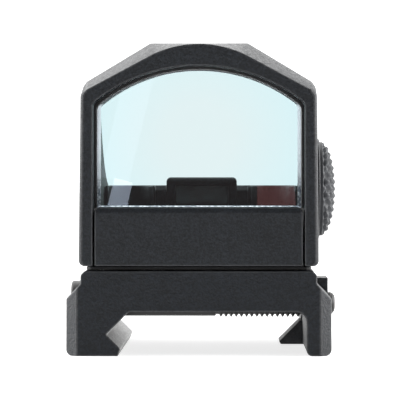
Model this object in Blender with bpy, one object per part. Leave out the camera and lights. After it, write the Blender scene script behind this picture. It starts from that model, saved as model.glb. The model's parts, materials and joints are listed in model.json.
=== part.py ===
"""Reflex red dot finder on a rail clamp mount, as an assembly of separate parts.

Lengths below are in millimetres and are turned into metres when a mesh is made.
+X is the button side, -Y is the objective end, +Z is up.
The origin is the middle of the mount's rail seat.
"""

from math import atan2, cos, pi, sin, sqrt

import bmesh
import bpy
from mathutils import Vector

MM = 0.001

# ---------------------------------------------------------------- driving dimensions
FIT = 0.1
SEAM = 0.2
EDGE = 0.15
OVER = 1.0  # how far a cutter runs past the surface it opens

FRONT_Y = -18.5
SIGHT_REAR_Y = 27.5
MOUNT_REAR_Y = 18.5

# Rail mount
SEAT_Z = 0.0
MOUNT_TOP_Z = 4.85
FOOT_Z = -5.2
MOUNT_HALF_TOP = 13.95
MOUNT_HALF_FOOT = 15.7
MOUNT_TOP_CHAMFER = 0.5
FLARE_TOP_Z = 3.3
FOOT_ROUND = 0.65
GROOVE_APEX_X = 10.9
GROOVE_APEX_Z = -2.65
GROOVE_LIP_Z = -4.35
LEFT_LEG_INNER_X = 9.5
RIGHT_LEG_INNER_X = 12.7
LEG_FILLET = 1.2
LEG_CHAMFER = 1.3

# Clamp screw and jaw, with the jaw standing open by JAW_OPEN
BOLT_Y = 5.0
BOLT_Z = 0.0
BOLT_RADIUS = 1.75
BOLT_CLEARANCE = 0.15
BOLT_HEAD_RADIUS = 2.85
BOLT_HEAD_ROUND = 0.4
BOLT_HEAD_SEAT_X = -14.65
BOLT_HEAD_END_X = -16.4
BOLT_TIP_X = 16.9
BOLT_TIP_ROUND = 0.6
BOLT_SOCKET_RADIUS = 1.4
BOLT_SOCKET_DEPTH = 1.3
JAW_OPEN = 0.9
JAW_LENGTH = 7.0
JAW_NOSE = 0.2
JAW_OUTER_X = 15.9
JAW_INNER_X = 13.4
JAW_TOP_Z = 3.35
JAW_FOOT_Z = -5.0
JAW_SHELF_Z = -2.05
JAW_TIP_Z = -4.65
JAW_SLOT_INNER_X = 12.3

# Sight body
BODY_BASE_Z = 5.4
HOUSING_HALF = 12.3
SILL_Z = 12.4
LENS_SEAT_Z = 12.1
SILL_DEPTH = 3.2
LENS_SEAT_DEPTH = 6.5
DECK_Z = 10.6
REAR_BLOCK_Y = 9.5
REAR_TOP_Z = 14.85
REAR_CHAMFER = 0.6
SILL_CORNER = 0.7
GLARE_GROOVES = 6
GLARE_START_Y = -10.2
GLARE_PITCH = 1.9
GLARE_WIDTH = 0.8
GLARE_DEPTH = 0.4

# Hood
HOOD_HALF_BASE = 14.15
HOOD_HALF_TOP = 13.95
HOOD_TOP_Z = 31.9
HOOD_FLAT_HALF = 5.8
HOOD_ARC_STEPS = 8
HOOD_SLOPE = 0.6
HOOD_SHOULDER_X = 13.5
HOOD_FACE_TOP_Z = 31.6
HOOD_FACE_RADIUS = 12.3
HOOD_FACE_SHOULDER_X = 13.2
HOOD_FACE_INSET = 0.3
HOOD_BEVEL_DEPTH = 5.0
HOOD_REAR_Y = 27.2
HOOD_PLATE_TOP_Z = 14.6
HOOD_FOOT_ROUND = 0.6
HOOD_SHOULDER_ROUND = 1.0
HOOD_REAR_CHAMFER = 0.4
SWEEP_TOP_Z = 34.0
SWEEP_LENGTH = 30.0
SWEEP_STEPS = 16
OPENING_HALF = 12.5
OPENING_TOP_Z = 29.05
OPENING_RADIUS = 19.8
OPENING_CORNER = 0.9
GROOVE_DEPTH = 0.25
GROOVE_START = 3.3
GROOVE_END = 5.9

# Lens
LENS_HALF = 12.15
LENS_TOP_Z = 28.75
LENS_RADIUS = 19.0
LENS_CORNER = 1.2
LENS_CHAMFER = 0.35
LENS_START = 3.5
LENS_END = 5.8
SEAL_INNER_GAP = 0.1

# Brightness button, on the X axis line through BUTTON_Y, BUTTON_Z
BUTTON_Y = -7.0
BUTTON_Z = 14.5
BUTTON_RADIUS = 5.7
BUTTON_BASE_X = 13.95
BUTTON_EDGE_X = 14.75
BUTTON_TIP_X = 16.5
BUTTON_NUB_X = 13.8
BUTTON_NUB_RADIUS = 1.2
BUTTON_STEPS = 8
RING_INNER_RADIUS = 5.85
RING_OUTER_RADIUS = 6.1
RING_FRONT_X = 14.5
RING_BACK_X = 13.3
POCKET_RADIUS = 6.25
POCKET_FLOOR_X = 12.95
SWITCH_RADIUS = 5.6
SWITCH_THICKNESS = 0.15
SNAP_RADIUS = 2.4
SNAP_CROWN_RADIUS = 1.0
SNAP_HEIGHT = 0.2
SNAP_RIM = 0.08

# Emitter housing and what it holds
EMITTER_HALF = 5.95
EMITTER_REAR_Y = 24.5
EMITTER_BASE_Z = 7.4
BUMP_HALF = 4.5
BUMP_REAR_Y = 18.9
BUMP_TOP_Z = 15.9
BUMP_CHAMFER = 0.42
CAVITY_HALF = 4.7
CAVITY_FRONT_Y = 11.2
CAVITY_REAR_Y = 23.2
CAVITY_ROOF_Z = 13.7
LOFT_HALF = 3.5
LOFT_REAR_Y = 17.6
LOFT_ROOF_Z = 15.1
RECESS_HALF = 3.4
RECESS_BACK_Y = 10.6
RECESS_LOW_Z = 10.9
RECESS_HIGH_Z = 14.9
APERTURE_HALF = 2.7
APERTURE_LOW_Z = 11.4
APERTURE_HIGH_Z = 14.3
WINDOW_THICKNESS = 0.5

WINDAGE_Y = 15.0
WINDAGE_Z = 9.4
WINDAGE_RADIUS = 1.2
WINDAGE_HEAD_RADIUS = 2.0
WINDAGE_HEAD_X = -13.95
WINDAGE_NECK_X = -12.75
WINDAGE_TIP_X = 4.2
ELEVATION_Y = 19.2
ELEVATION_RADIUS = 1.0
ELEVATION_HEAD_RADIUS = 1.9
ELEVATION_HOLE_RADIUS = 2.5
ELEVATION_FOOT_Z = 9.1
ELEVATION_NECK_Z = 13.85
ELEVATION_HEAD_Z = 14.7
SLED_HALF = 2.9
SLED_FRONT_Y = 12.2
SLED_REAR_Y = 21.8
SLED_BASE_Z = 7.35
SLED_TOP_Z = 11.0
SPRING_SOCKET_RADIUS = 1.95
SPRING_SOCKET_Z = 9.2
SPRING_RADIUS = 1.5
SPRING_WIRE = 0.17
WINDAGE_SPRING_END_X = 4.2
ELEVATION_SPRING_TOP_Z = 11.6
SLOT_HALF_WIDTH = 0.25
SLOT_DEPTH = 0.5
LIFT_HALF = 1.7
LIFT_FRONT_Y = 12.6
LIFT_BACK_Y = 14.6
LIFT_BASE_Z = 11.7
LIFT_TOP_Z = 14.5
TONGUE_REAR_Y = 20.9
TONGUE_TOP_Z = 12.9
LED_HALF = 0.8
LED_DEPTH = 0.6
LED_LOW_Z = 12.6
LED_HIGH_Z = 14.2

# Fasteners and pins
SIGHT_SCREW_X = 9.0
SIGHT_SCREW_Y = 9.9
SIGHT_SCREW_RADIUS = 1.45
SIGHT_HEAD_RADIUS = 2.5
SIGHT_HEAD_LOW_Z = 8.3
SIGHT_HEAD_TOP_Z = 10.3
SIGHT_SCREW_TIP_Z = 2.6
SIGHT_SCREW_CHAMFER = 0.25
SIGHT_SOCKET_RADIUS = 1.15
SIGHT_SOCKET_DEPTH = 1.2
SCOOP_RADIUS = 2.9
SCOOP_FLOOR_Z = 8.1
HOOD_SCREW_Y = (-15.0, 23.5)
HOOD_SCREW_Z = 8.9
HOOD_SCREW_RADIUS = 0.8
HOOD_HEAD_RADIUS = 1.4
HOOD_HEAD_X = 14.0
HOOD_HEAD_SEAT_X = 13.4
HOOD_SCREW_TIP_X = 8.9
HOOD_SOCKET_RADIUS = 0.6
HOOD_SOCKET_DEPTH = 0.4
PIN_X = 10.8
PIN_Y = (-14.0, 15.5)
PIN_RADIUS = 1.0
PIN_FOOT_Z = 3.2
PIN_TIP_Z = 7.0
PIN_CHAMFER = 0.25
GASKET_HALF = 13.3
GASKET_FRONT_SETBACK = 0.8
GASKET_REAR_SETBACK = 0.6
GASKET_CORNER = 1.0

# Battery and its contacts
BATTERY_Y = -3.0
BATTERY_RADIUS = 8.0
BATTERY_LOW_Z = 5.45
BATTERY_TOP_Z = 8.65
BATTERY_CAN_Z = 8.15
BATTERY_CAP_INSET = 0.7
BATTERY_ROUND = 0.2
WELL_ROOF_Z = 9.1
CONTACT_HALF_WIDTH = 0.4
CONTACT_X = 4.0
CONTACT_THICKNESS = 0.15
CONTACT_RUN_Z = 7.5
CONTACT_DIP_Z = 6.5
CONTACT_TAIL_Y = -5.0
CONTACT_END_Y = 22.0
CONTACT_GAP = 0.4
CONTACT_SLANT = 0.9
CHANNEL_HALF = 5.0
CHANNEL_FRONT_Y = 3.0
CHANNEL_REAR_Y = 13.2
BOARD_HALF = 4.4
BOARD_FRONT_Y = 22.2
BOARD_BACK_Y = 22.8
BOARD_LOW_Z = 7.9
BOARD_HIGH_Z = 13.4
CHIP_LOW_X = 0.8
CHIP_HIGH_X = 3.4
CHIP_FRONT_Y = 21.9
CHIP_BACK_Y = 22.12
CHIP_LOW_Z = 11.2
CHIP_HIGH_Z = 12.8

SIDES = (("left", -1), ("right", 1))
ENDS = ("front", "rear")


# ---------------------------------------------------------------- mesh helpers
def clear_scene():
    for item in list(bpy.data.objects):
        bpy.data.objects.remove(item, do_unlink=True)


def make_material(name, color, roughness, metallic, alpha=1.0):
    material = bpy.data.materials.new(name)
    material.use_nodes = True
    shader = material.node_tree.nodes["Principled BSDF"]
    shader.inputs["Base Color"].default_value = (*color, 1.0)
    shader.inputs["Roughness"].default_value = roughness
    shader.inputs["Metallic"].default_value = metallic
    shader.inputs["Alpha"].default_value = alpha
    return material


def add_object(name, bm, material=None, pivot=(0.0, 0.0, 0.0), smooth=False):
    """Turn a bmesh in millimetres into an object whose origin is at pivot."""
    bmesh.ops.translate(bm, verts=bm.verts, vec=-Vector(pivot))
    bmesh.ops.scale(bm, verts=bm.verts, vec=(MM, MM, MM))
    bmesh.ops.recalc_face_normals(bm, faces=bm.faces)
    mesh = bpy.data.meshes.new(name)
    bm.to_mesh(mesh)
    bm.free()
    if material is not None:
        mesh.materials.append(material)
    if smooth:
        mesh.shade_smooth()
        mesh.set_sharp_from_angle(angle=pi / 6)
    item = bpy.data.objects.new(name, mesh)
    item.location = Vector(pivot) * MM
    bpy.context.scene.collection.objects.link(item)
    return item


def loft_into(bm, sections):
    """Join closed loops of equal length, given as 3-D points, and cap both ends."""
    rings = [[bm.verts.new(point) for point in section] for section in sections]
    count = len(rings[0])
    for near, far in zip(rings, rings[1:]):
        for index in range(count):
            following = (index + 1) % count
            bm.faces.new((near[index], near[following], far[following], far[index]))
    bm.faces.new(rings[0])
    bm.faces.new(list(reversed(rings[-1])))


def along_x(outline, x):
    return [(x, y, z) for y, z in outline]


def along_y(outline, y):
    return [(x, y, z) for x, z in outline]


def along_z(outline, z):
    return [(x, y, z) for x, y in outline]


PLACE = {"X": along_x, "Y": along_y, "Z": along_z}


def prism_into(bm, axis, outline, low, high):
    place = PLACE[axis]
    loft_into(bm, [place(outline, low), place(outline, high)])


def box_into(bm, low, high):
    outline = [(low[0], low[1]), (high[0], low[1]), (high[0], high[1]), (low[0], high[1])]
    prism_into(bm, "Z", outline, low[2], high[2])


def circle(centre, radius, segments=32, start=0.0):
    steps = [start + 2 * pi * index / segments for index in range(segments)]
    return [(centre[0] + radius * cos(a), centre[1] + radius * sin(a)) for a in steps]


def turned_into(bm, axis, centre, stations, segments=32):
    """Loft circles along an axis; stations are (position, radius) pairs."""
    place = PLACE[axis]
    loft_into(bm, [place(circle(centre, radius, segments), position) for position, radius in stations])


def prism(name, axis, outline, low, high, material=None, pivot=(0, 0, 0), smooth=False):
    bm = bmesh.new()
    prism_into(bm, axis, outline, low, high)
    return add_object(name, bm, material, pivot, smooth)


def box(name, low, high, material=None, pivot=(0, 0, 0)):
    bm = bmesh.new()
    box_into(bm, low, high)
    return add_object(name, bm, material, pivot)


def turned(name, axis, centre, stations, material=None, pivot=(0, 0, 0), segments=32):
    bm = bmesh.new()
    turned_into(bm, axis, centre, stations, segments)
    return add_object(name, bm, material, pivot, smooth=True)


def combine(target, tool, operation="DIFFERENCE"):
    """Boolean target with tool, which stays in the file as a hidden wire guide."""
    modifier = target.modifiers.new(tool.name, "BOOLEAN")
    modifier.operation = operation
    modifier.solver = "EXACT"
    modifier.object = tool
    tool.hide_render = True
    tool.display_type = "WIRE"


def cut_box(target, label, low, high):
    combine(target, box(f"cut_{label}", low, high))


def cut_round(target, label, axis, centre, radius, low, high, segments=32):
    combine(target, turned(f"cut_{label}", axis, centre, [(low, radius), (high, radius)], segments=segments))


def cut_prism(target, label, axis, outline, low, high):
    combine(target, prism(f"cut_{label}", axis, outline, low, high))


def bevel_edges(item, width, segments, wanted):
    """Bevel the edges whose two ends, in millimetres, both satisfy wanted(x, y, z)."""
    bm = bmesh.new()
    bm.from_mesh(item.data)
    offset = item.location
    edges = []
    for edge in bm.edges:
        ends = [(vert.co + offset) / MM for vert in edge.verts]
        if all(wanted(end.x, end.y, end.z) for end in ends):
            edges.append(edge)
    bmesh.ops.bevel(bm, geom=edges, offset=width * MM, segments=segments, affect="EDGES", profile=0.5)
    bm.to_mesh(item.data)
    bm.free()


def near(value, target):
    return abs(value - target) < 0.01


def arc_points(centre, radius, start, end, steps):
    angles = [start + (end - start) * index / steps for index in range(steps + 1)]
    return [(centre[0] + radius * cos(a), centre[1] + radius * sin(a)) for a in angles]


def arched_outline(half, base_z, top_z, radius, corner, steps=24):
    """A window shape: flat base, straight sides, rounded shoulders and an arched top."""
    centre_z = top_z - radius
    shoulder = (half - corner, centre_z + sqrt((radius - corner) ** 2 - (half - corner) ** 2))
    turn = atan2(shoulder[1] - centre_z, shoulder[0])
    right = arc_points(shoulder, corner, 0.0, turn, 5)
    top = arc_points((0.0, centre_z), radius, turn, pi - turn, steps)[1:-1]
    left = [(-x, z) for x, z in reversed(right)]
    return [(half, base_z)] + right + top + left + [(-half, base_z)]


def mirrored(right_half):
    """Complete a left-right symmetric outline whose last point is on the centre line."""
    return right_half + [(-x, z) for x, z in reversed(right_half[:-1])]


# ---------------------------------------------------------------- materials
def make_materials():
    return {
        "anodised": make_material("anodised", (0.032, 0.035, 0.04), 0.5, 0.6),
        "steel_black": make_material("steel_black", (0.05, 0.05, 0.052), 0.35, 0.9),
        "steel": make_material("steel", (0.55, 0.55, 0.56), 0.3, 1.0),
        "glass": make_material("glass", (0.75, 0.93, 0.95), 0.02, 0.0, 0.3),
        "rubber": make_material("rubber", (0.045, 0.045, 0.05), 0.6, 0.0),
        "seal": make_material("seal", (0.015, 0.015, 0.016), 0.7, 0.0),
        "board": make_material("board", (0.02, 0.12, 0.06), 0.45, 0.0),
        "chip": make_material("chip", (0.02, 0.02, 0.022), 0.4, 0.0),
        "contact": make_material("contact", (0.85, 0.65, 0.3), 0.3, 1.0),
        "led": make_material("led", (0.8, 0.05, 0.04), 0.3, 0.0),
    }


# ---------------------------------------------------------------- rail mount and clamp
def mount_outline():
    lip_x = GROOVE_APEX_X - (GROOVE_APEX_Z - GROOVE_LIP_Z)
    seat_x = GROOVE_APEX_X + GROOVE_APEX_Z
    flare_low_z = FLARE_TOP_Z - (MOUNT_HALF_FOOT - MOUNT_HALF_TOP)
    corner = FOOT_ROUND
    fillet = (RIGHT_LEG_INNER_X - LEG_FILLET, SEAT_Z - LEG_FILLET)
    outline = [(-seat_x, SEAT_Z), (-GROOVE_APEX_X, GROOVE_APEX_Z), (-lip_x, GROOVE_LIP_Z)]
    outline += [(-LEFT_LEG_INNER_X, FOOT_Z)]
    outline += arc_points((-MOUNT_HALF_FOOT + corner, FOOT_Z + corner), corner, -pi / 2, -pi, 3)
    outline += [(-MOUNT_HALF_FOOT, flare_low_z), (-MOUNT_HALF_TOP, FLARE_TOP_Z)]
    outline += [(-MOUNT_HALF_TOP, MOUNT_TOP_Z - MOUNT_TOP_CHAMFER)]
    outline += [(-MOUNT_HALF_TOP + MOUNT_TOP_CHAMFER, MOUNT_TOP_Z)]
    outline += [(MOUNT_HALF_TOP - MOUNT_TOP_CHAMFER, MOUNT_TOP_Z)]
    outline += [(MOUNT_HALF_TOP, MOUNT_TOP_Z - MOUNT_TOP_CHAMFER), (MOUNT_HALF_TOP, FLARE_TOP_Z)]
    outline += [(MOUNT_HALF_FOOT, flare_low_z)]
    outline += arc_points((MOUNT_HALF_FOOT - corner, FOOT_Z + corner), corner, 0.0, -pi / 2, 3)
    outline += arc_points((RIGHT_LEG_INNER_X + corner, FOOT_Z + corner), corner, -pi / 2, -pi, 3)
    outline += arc_points(fillet, LEG_FILLET, 0.0, pi / 2, 5)
    return outline


def build_rail_mount(material):
    mount = prism("rail_mount", "Y", mount_outline(), FRONT_Y, MOUNT_REAR_Y, material)
    reach = MOUNT_HALF_FOOT + OVER
    top = MOUNT_TOP_Z + OVER
    for side, sign in SIDES:
        for end, face_y, inward in (("front", FRONT_Y, OVER), ("rear", MOUNT_REAR_Y, -OVER)):
            corner = [
                (sign * (MOUNT_HALF_FOOT - LEG_CHAMFER - OVER), face_y - inward),
                (sign * reach, face_y - inward),
                (sign * reach, face_y + inward * (LEG_CHAMFER + OVER)),
            ]
            cut_prism(mount, f"leg_{side}_{end}", "Z", corner, FOOT_Z - OVER, top)
        cut_round(mount, f"tapped_{side}", "Z", (sign * SIGHT_SCREW_X, SIGHT_SCREW_Y),
                  SIGHT_SCREW_RADIUS + FIT, SIGHT_SCREW_TIP_Z - SEAM, top, 20)
        for end, pin_y in zip(ENDS, PIN_Y):
            cut_round(mount, f"pin_seat_{side}_{end}", "Z", (sign * PIN_X, pin_y),
                      PIN_RADIUS + FIT, PIN_FOOT_Z - SEAM, top, 16)
    bolt = (BOLT_Y, BOLT_Z)
    cut_round(mount, "bolt_bore", "X", bolt, BOLT_RADIUS + BOLT_CLEARANCE, -reach, reach)
    cut_round(mount, "bolt_head_seat", "X", bolt, BOLT_HEAD_RADIUS + SEAM, -reach, BOLT_HEAD_SEAT_X)
    half_slot = JAW_LENGTH / 2 + SEAM
    cut_box(mount, "jaw_slot", (JAW_SLOT_INNER_X, BOLT_Y - half_slot, FOOT_Z - OVER),
            (reach, BOLT_Y + half_slot, JAW_TOP_Z + SEAM))
    return mount


def build_clamp_jaw(material):
    tip_x = GROOVE_APEX_X - (GROOVE_APEX_Z - JAW_TIP_Z) + JAW_OPEN
    shelf_x = GROOVE_APEX_X - (GROOVE_APEX_Z - JAW_SHELF_Z) + JAW_OPEN
    outline = [
        (JAW_OUTER_X, JAW_FOOT_Z), (JAW_OUTER_X, JAW_TOP_Z), (JAW_INNER_X, JAW_TOP_Z),
        (JAW_INNER_X, JAW_SHELF_Z), (shelf_x, JAW_SHELF_Z), (tip_x, JAW_TIP_Z),
        (tip_x + JAW_NOSE, JAW_FOOT_Z),
    ]
    pivot = (JAW_INNER_X, BOLT_Y, BOLT_Z)
    jaw = prism("clamp_jaw", "Y", outline, BOLT_Y - JAW_LENGTH / 2, BOLT_Y + JAW_LENGTH / 2, material, pivot)
    cut_round(jaw, "jaw_thread", "X", (BOLT_Y, BOLT_Z), BOLT_RADIUS + BOLT_CLEARANCE,
              JAW_INNER_X - OVER, JAW_OUTER_X + OVER)
    return jaw


def build_clamp_screw(material):
    centre = (BOLT_Y, BOLT_Z)
    stations = [
        (BOLT_HEAD_END_X, BOLT_HEAD_RADIUS - BOLT_HEAD_ROUND),
        (BOLT_HEAD_END_X + BOLT_HEAD_ROUND, BOLT_HEAD_RADIUS),
        (BOLT_HEAD_SEAT_X - FIT, BOLT_HEAD_RADIUS), (BOLT_HEAD_SEAT_X - FIT, BOLT_RADIUS),
        (BOLT_TIP_X - BOLT_TIP_ROUND, BOLT_RADIUS), (BOLT_TIP_X, BOLT_RADIUS - BOLT_TIP_ROUND),
    ]
    screw = turned("clamp_screw", "X", centre, stations, material, (0.0, BOLT_Y, BOLT_Z))
    cut_round(screw, "clamp_socket", "X", centre, BOLT_SOCKET_RADIUS, BOLT_HEAD_END_X - OVER,
              BOLT_HEAD_END_X + BOLT_SOCKET_DEPTH, 6)
    return screw


# ---------------------------------------------------------------- main housing
def housing_profile():
    lens_back = FRONT_Y + LENS_SEAT_DEPTH
    sill_back = FRONT_Y + SILL_DEPTH
    return [
        (FRONT_Y, BODY_BASE_Z), (SIGHT_REAR_Y, BODY_BASE_Z),
        (SIGHT_REAR_Y, REAR_TOP_Z - REAR_CHAMFER), (SIGHT_REAR_Y - REAR_CHAMFER, REAR_TOP_Z),
        (REAR_BLOCK_Y + REAR_CHAMFER, REAR_TOP_Z), (REAR_BLOCK_Y, REAR_TOP_Z - REAR_CHAMFER),
        (REAR_BLOCK_Y, DECK_Z), (lens_back, DECK_Z), (lens_back, LENS_SEAT_Z),
        (sill_back, LENS_SEAT_Z), (sill_back, SILL_Z), (FRONT_Y, SILL_Z),
    ]


def build_main_housing(material):
    housing = prism("main_housing", "X", housing_profile(), -HOUSING_HALF, HOUSING_HALF, material)
    bevel_edges(housing, SILL_CORNER, 4, lambda x, y, z: near(abs(x), HOUSING_HALF) and near(z, SILL_Z))
    below = BODY_BASE_Z - OVER
    cut_box(housing, "emitter_pocket", (-EMITTER_HALF - SEAM, REAR_BLOCK_Y - OVER, EMITTER_BASE_Z - SEAM),
            (EMITTER_HALF + SEAM, EMITTER_REAR_Y + SEAM, REAR_TOP_Z + OVER))
    cut_round(housing, "battery_well", "Z", (0.0, BATTERY_Y), BATTERY_RADIUS + EDGE, below, WELL_ROOF_Z, 48)
    cut_box(housing, "contact_channel", (-CHANNEL_HALF, CHANNEL_FRONT_Y, below),
            (CHANNEL_HALF, CHANNEL_REAR_Y, WELL_ROOF_Z - FIT))
    cut_round(housing, "windage_bore", "X", (WINDAGE_Y, WINDAGE_Z), WINDAGE_RADIUS + SEAM,
              -HOUSING_HALF - OVER, -EMITTER_HALF + OVER, 20)
    for index in range(GLARE_GROOVES):
        low_y = GLARE_START_Y + GLARE_PITCH * index
        cut_box(housing, f"glare_groove_{index}", (-HOUSING_HALF + OVER, low_y, DECK_Z - GLARE_DEPTH),
                (HOUSING_HALF - OVER, low_y + GLARE_WIDTH, DECK_Z + OVER))
    for side, sign in SIDES:
        centre = (sign * SIGHT_SCREW_X, SIGHT_SCREW_Y)
        cut_round(housing, f"scoop_{side}", "Z", centre, SCOOP_RADIUS, SCOOP_FLOOR_Z, REAR_TOP_Z + OVER)
        cut_round(housing, f"shank_{side}", "Z", centre, SIGHT_SCREW_RADIUS + SEAM,
                  below, SCOOP_FLOOR_Z + OVER, 20)
        reach = sorted((sign * (HOOD_SCREW_TIP_X - SEAM), sign * (HOUSING_HALF + OVER)))
        for end, pin_y, screw_y in zip(ENDS, PIN_Y, HOOD_SCREW_Y):
            cut_round(housing, f"pin_hole_{side}_{end}", "Z", (sign * PIN_X, pin_y),
                      PIN_RADIUS + FIT, below, PIN_TIP_Z + SEAM, 16)
            cut_round(housing, f"hood_thread_{side}_{end}", "X", (screw_y, HOOD_SCREW_Z),
                      HOOD_SCREW_RADIUS + FIT, reach[0], reach[1], 16)
    return housing


# ---------------------------------------------------------------- hood
def hood_base_points(inset):
    """The lower right edge of the hood, from its rounded foot up to below the shoulder."""
    base = HOOD_HALF_BASE - inset
    centre = (base - HOOD_FOOT_ROUND, BODY_BASE_Z + HOOD_FOOT_ROUND)
    return arc_points(centre, HOOD_FOOT_ROUND, -pi / 2, 0.0, 3)


def hood_face_height(x):
    """Top edge of the front face: a shallow arc that runs on as straight slopes."""
    reach = min(x, HOOD_FLAT_HALF)
    rise = sqrt(HOOD_FACE_RADIUS ** 2 - reach ** 2)
    slope = reach / rise
    return HOOD_FACE_TOP_Z - (HOOD_FACE_RADIUS - rise) - slope * (x - reach)


def hood_back_height(x):
    return HOOD_TOP_Z - HOOD_SLOPE * max(0.0, x - HOOD_FLAT_HALF)


def hood_section(share, inset):
    """Outer outline; share 0 is the front face's top edge and 1 the full top behind it."""
    shoulder_x = HOOD_FACE_SHOULDER_X + share * (HOOD_SHOULDER_X - HOOD_FACE_SHOULDER_X)
    half = HOOD_HALF_TOP - inset
    stations = [shoulder_x]
    stations += [HOOD_FLAT_HALF * step / HOOD_ARC_STEPS for step in range(HOOD_ARC_STEPS, -1, -1)]
    heights = []
    for x in stations:
        heights.append((1 - share) * hood_face_height(x) + share * hood_back_height(x))
    drop = heights[0]
    shoulder = HOOD_SHOULDER_ROUND
    right = hood_base_points(inset)
    right += arc_points((half - shoulder, drop - shoulder), shoulder, 0.0, pi / 4, 4)
    right += list(zip(stations, heights))
    return mirrored(right)


def hood_rear_profile():
    """What is cut away behind the arch: a hollow sweep down to the rear of the side plates."""
    rear = HOOD_REAR_Y + OVER
    outline = [(rear, SWEEP_TOP_Z), (rear, HOOD_PLATE_TOP_Z)]
    for step in range(SWEEP_STEPS + 1):
        angle = pi / 2 * (1 - step / SWEEP_STEPS)
        fall = (SWEEP_TOP_Z - HOOD_PLATE_TOP_Z) * sin(angle)
        outline.append((HOOD_REAR_Y - SWEEP_LENGTH * cos(angle), SWEEP_TOP_Z - fall))
    return outline


def build_hood(material):
    early = HOOD_FACE_INSET / HOOD_BEVEL_DEPTH
    sections = [
        along_y(hood_section(0.0, HOOD_FACE_INSET), FRONT_Y),
        along_y(hood_section(early, 0.0), FRONT_Y + HOOD_FACE_INSET),
        along_y(hood_section(1.0, 0.0), FRONT_Y + HOOD_BEVEL_DEPTH),
        along_y(hood_section(1.0, 0.0), HOOD_REAR_Y - HOOD_REAR_CHAMFER),
        along_y(hood_section(1.0, HOOD_REAR_CHAMFER), HOOD_REAR_Y),
    ]
    bm = bmesh.new()
    loft_into(bm, sections)
    hood = add_object("hood", bm, material, smooth=True)
    opening = arched_outline(OPENING_HALF, BODY_BASE_Z - OVER, OPENING_TOP_Z, OPENING_RADIUS, OPENING_CORNER)
    cut_prism(hood, "hood_opening", "Y", opening, FRONT_Y - OVER, HOOD_REAR_Y + OVER)
    groove = arched_outline(OPENING_HALF + GROOVE_DEPTH, LENS_SEAT_Z, OPENING_TOP_Z + GROOVE_DEPTH,
                            OPENING_RADIUS + GROOVE_DEPTH, OPENING_CORNER)
    cut_prism(hood, "lens_groove", "Y", groove, FRONT_Y + GROOVE_START, FRONT_Y + GROOVE_END)
    outside = HOOD_HALF_BASE + OVER
    cut_prism(hood, "hood_rear", "X", hood_rear_profile(), -outside, outside)
    cut_round(hood, "button_pocket", "X", (BUTTON_Y, BUTTON_Z), POCKET_RADIUS, POCKET_FLOOR_X, outside, 48)
    cut_round(hood, "windage_access", "X", (WINDAGE_Y, WINDAGE_Z), WINDAGE_HEAD_RADIUS + SEAM,
              -outside, -OPENING_HALF + OVER, 24)
    for side, sign in SIDES:
        hole = sorted((sign * (OPENING_HALF - OVER), sign * outside))
        seat = sorted((sign * (HOOD_HEAD_SEAT_X - FIT), sign * outside))
        for end, screw_y in zip(ENDS, HOOD_SCREW_Y):
            centre = (screw_y, HOOD_SCREW_Z)
            label = f"{side}_{end}"
            cut_round(hood, f"hood_hole_{label}", "X", centre, HOOD_SCREW_RADIUS + EDGE, hole[0], hole[1], 16)
            cut_round(hood, f"hood_seat_{label}", "X", centre, HOOD_HEAD_RADIUS + EDGE, seat[0], seat[1], 20)
    return hood


def build_hood_screws(material):
    for side, sign in SIDES:
        for end, screw_y in zip(ENDS, HOOD_SCREW_Y):
            stations = [
                (sign * HOOD_HEAD_X, HOOD_HEAD_RADIUS - EDGE),
                (sign * (HOOD_HEAD_X - EDGE), HOOD_HEAD_RADIUS),
                (sign * HOOD_HEAD_SEAT_X, HOOD_HEAD_RADIUS),
                (sign * HOOD_HEAD_SEAT_X, HOOD_SCREW_RADIUS),
                (sign * HOOD_SCREW_TIP_X, HOOD_SCREW_RADIUS),
            ]
            centre = (screw_y, HOOD_SCREW_Z)
            screw = turned(f"hood_screw_{side}_{end}", "X", centre, stations, material, segments=20)
            socket = sorted((sign * (HOOD_HEAD_X - HOOD_SOCKET_DEPTH), sign * (HOOD_HEAD_X + OVER)))
            cut_round(screw, f"hood_socket_{side}_{end}", "X", centre, HOOD_SOCKET_RADIUS,
                      socket[0], socket[1], 6)


# ---------------------------------------------------------------- lens and seal
def build_lens(material):
    base = LENS_SEAT_Z + EDGE
    trim = LENS_CHAMFER
    full = arched_outline(LENS_HALF, base, LENS_TOP_Z, LENS_RADIUS, LENS_CORNER)
    small = arched_outline(LENS_HALF - trim, base + trim, LENS_TOP_Z - trim, LENS_RADIUS - trim,
                           LENS_CORNER - trim)
    bm = bmesh.new()
    loft_into(bm, [
        along_y(small, FRONT_Y + LENS_START), along_y(full, FRONT_Y + LENS_START + trim),
        along_y(full, FRONT_Y + LENS_END - trim), along_y(small, FRONT_Y + LENS_END),
    ])
    return add_object("objective_lens", bm, material, smooth=True)


def build_lens_seal(material):
    base = LENS_SEAT_Z + EDGE
    grow = GROOVE_DEPTH - FIT
    gap = SEAL_INNER_GAP
    outer = arched_outline(OPENING_HALF + grow, base, OPENING_TOP_Z + grow, OPENING_RADIUS + grow,
                           OPENING_CORNER)
    inner = arched_outline(LENS_HALF + gap, base, LENS_TOP_Z + gap, LENS_RADIUS + gap, LENS_CORNER + gap)
    outline = outer + list(reversed(inner))
    front = FRONT_Y + GROOVE_START + FIT
    rear = FRONT_Y + GROOVE_END - FIT
    return prism("lens_seal", "Y", outline, front, rear, material)


# ---------------------------------------------------------------- brightness button
def button_stations():
    rise = BUTTON_TIP_X - BUTTON_EDGE_X
    stations = [(BUTTON_NUB_X, BUTTON_NUB_RADIUS), (BUTTON_BASE_X, BUTTON_NUB_RADIUS)]
    stations += [(BUTTON_BASE_X, BUTTON_RADIUS)]
    for step in range(BUTTON_STEPS):
        angle = step / BUTTON_STEPS * pi / 2
        stations.append((BUTTON_EDGE_X + rise * sin(angle), BUTTON_RADIUS * cos(angle)))
    stations.append((BUTTON_TIP_X, BUTTON_NUB_RADIUS / 4))
    return stations


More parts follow.
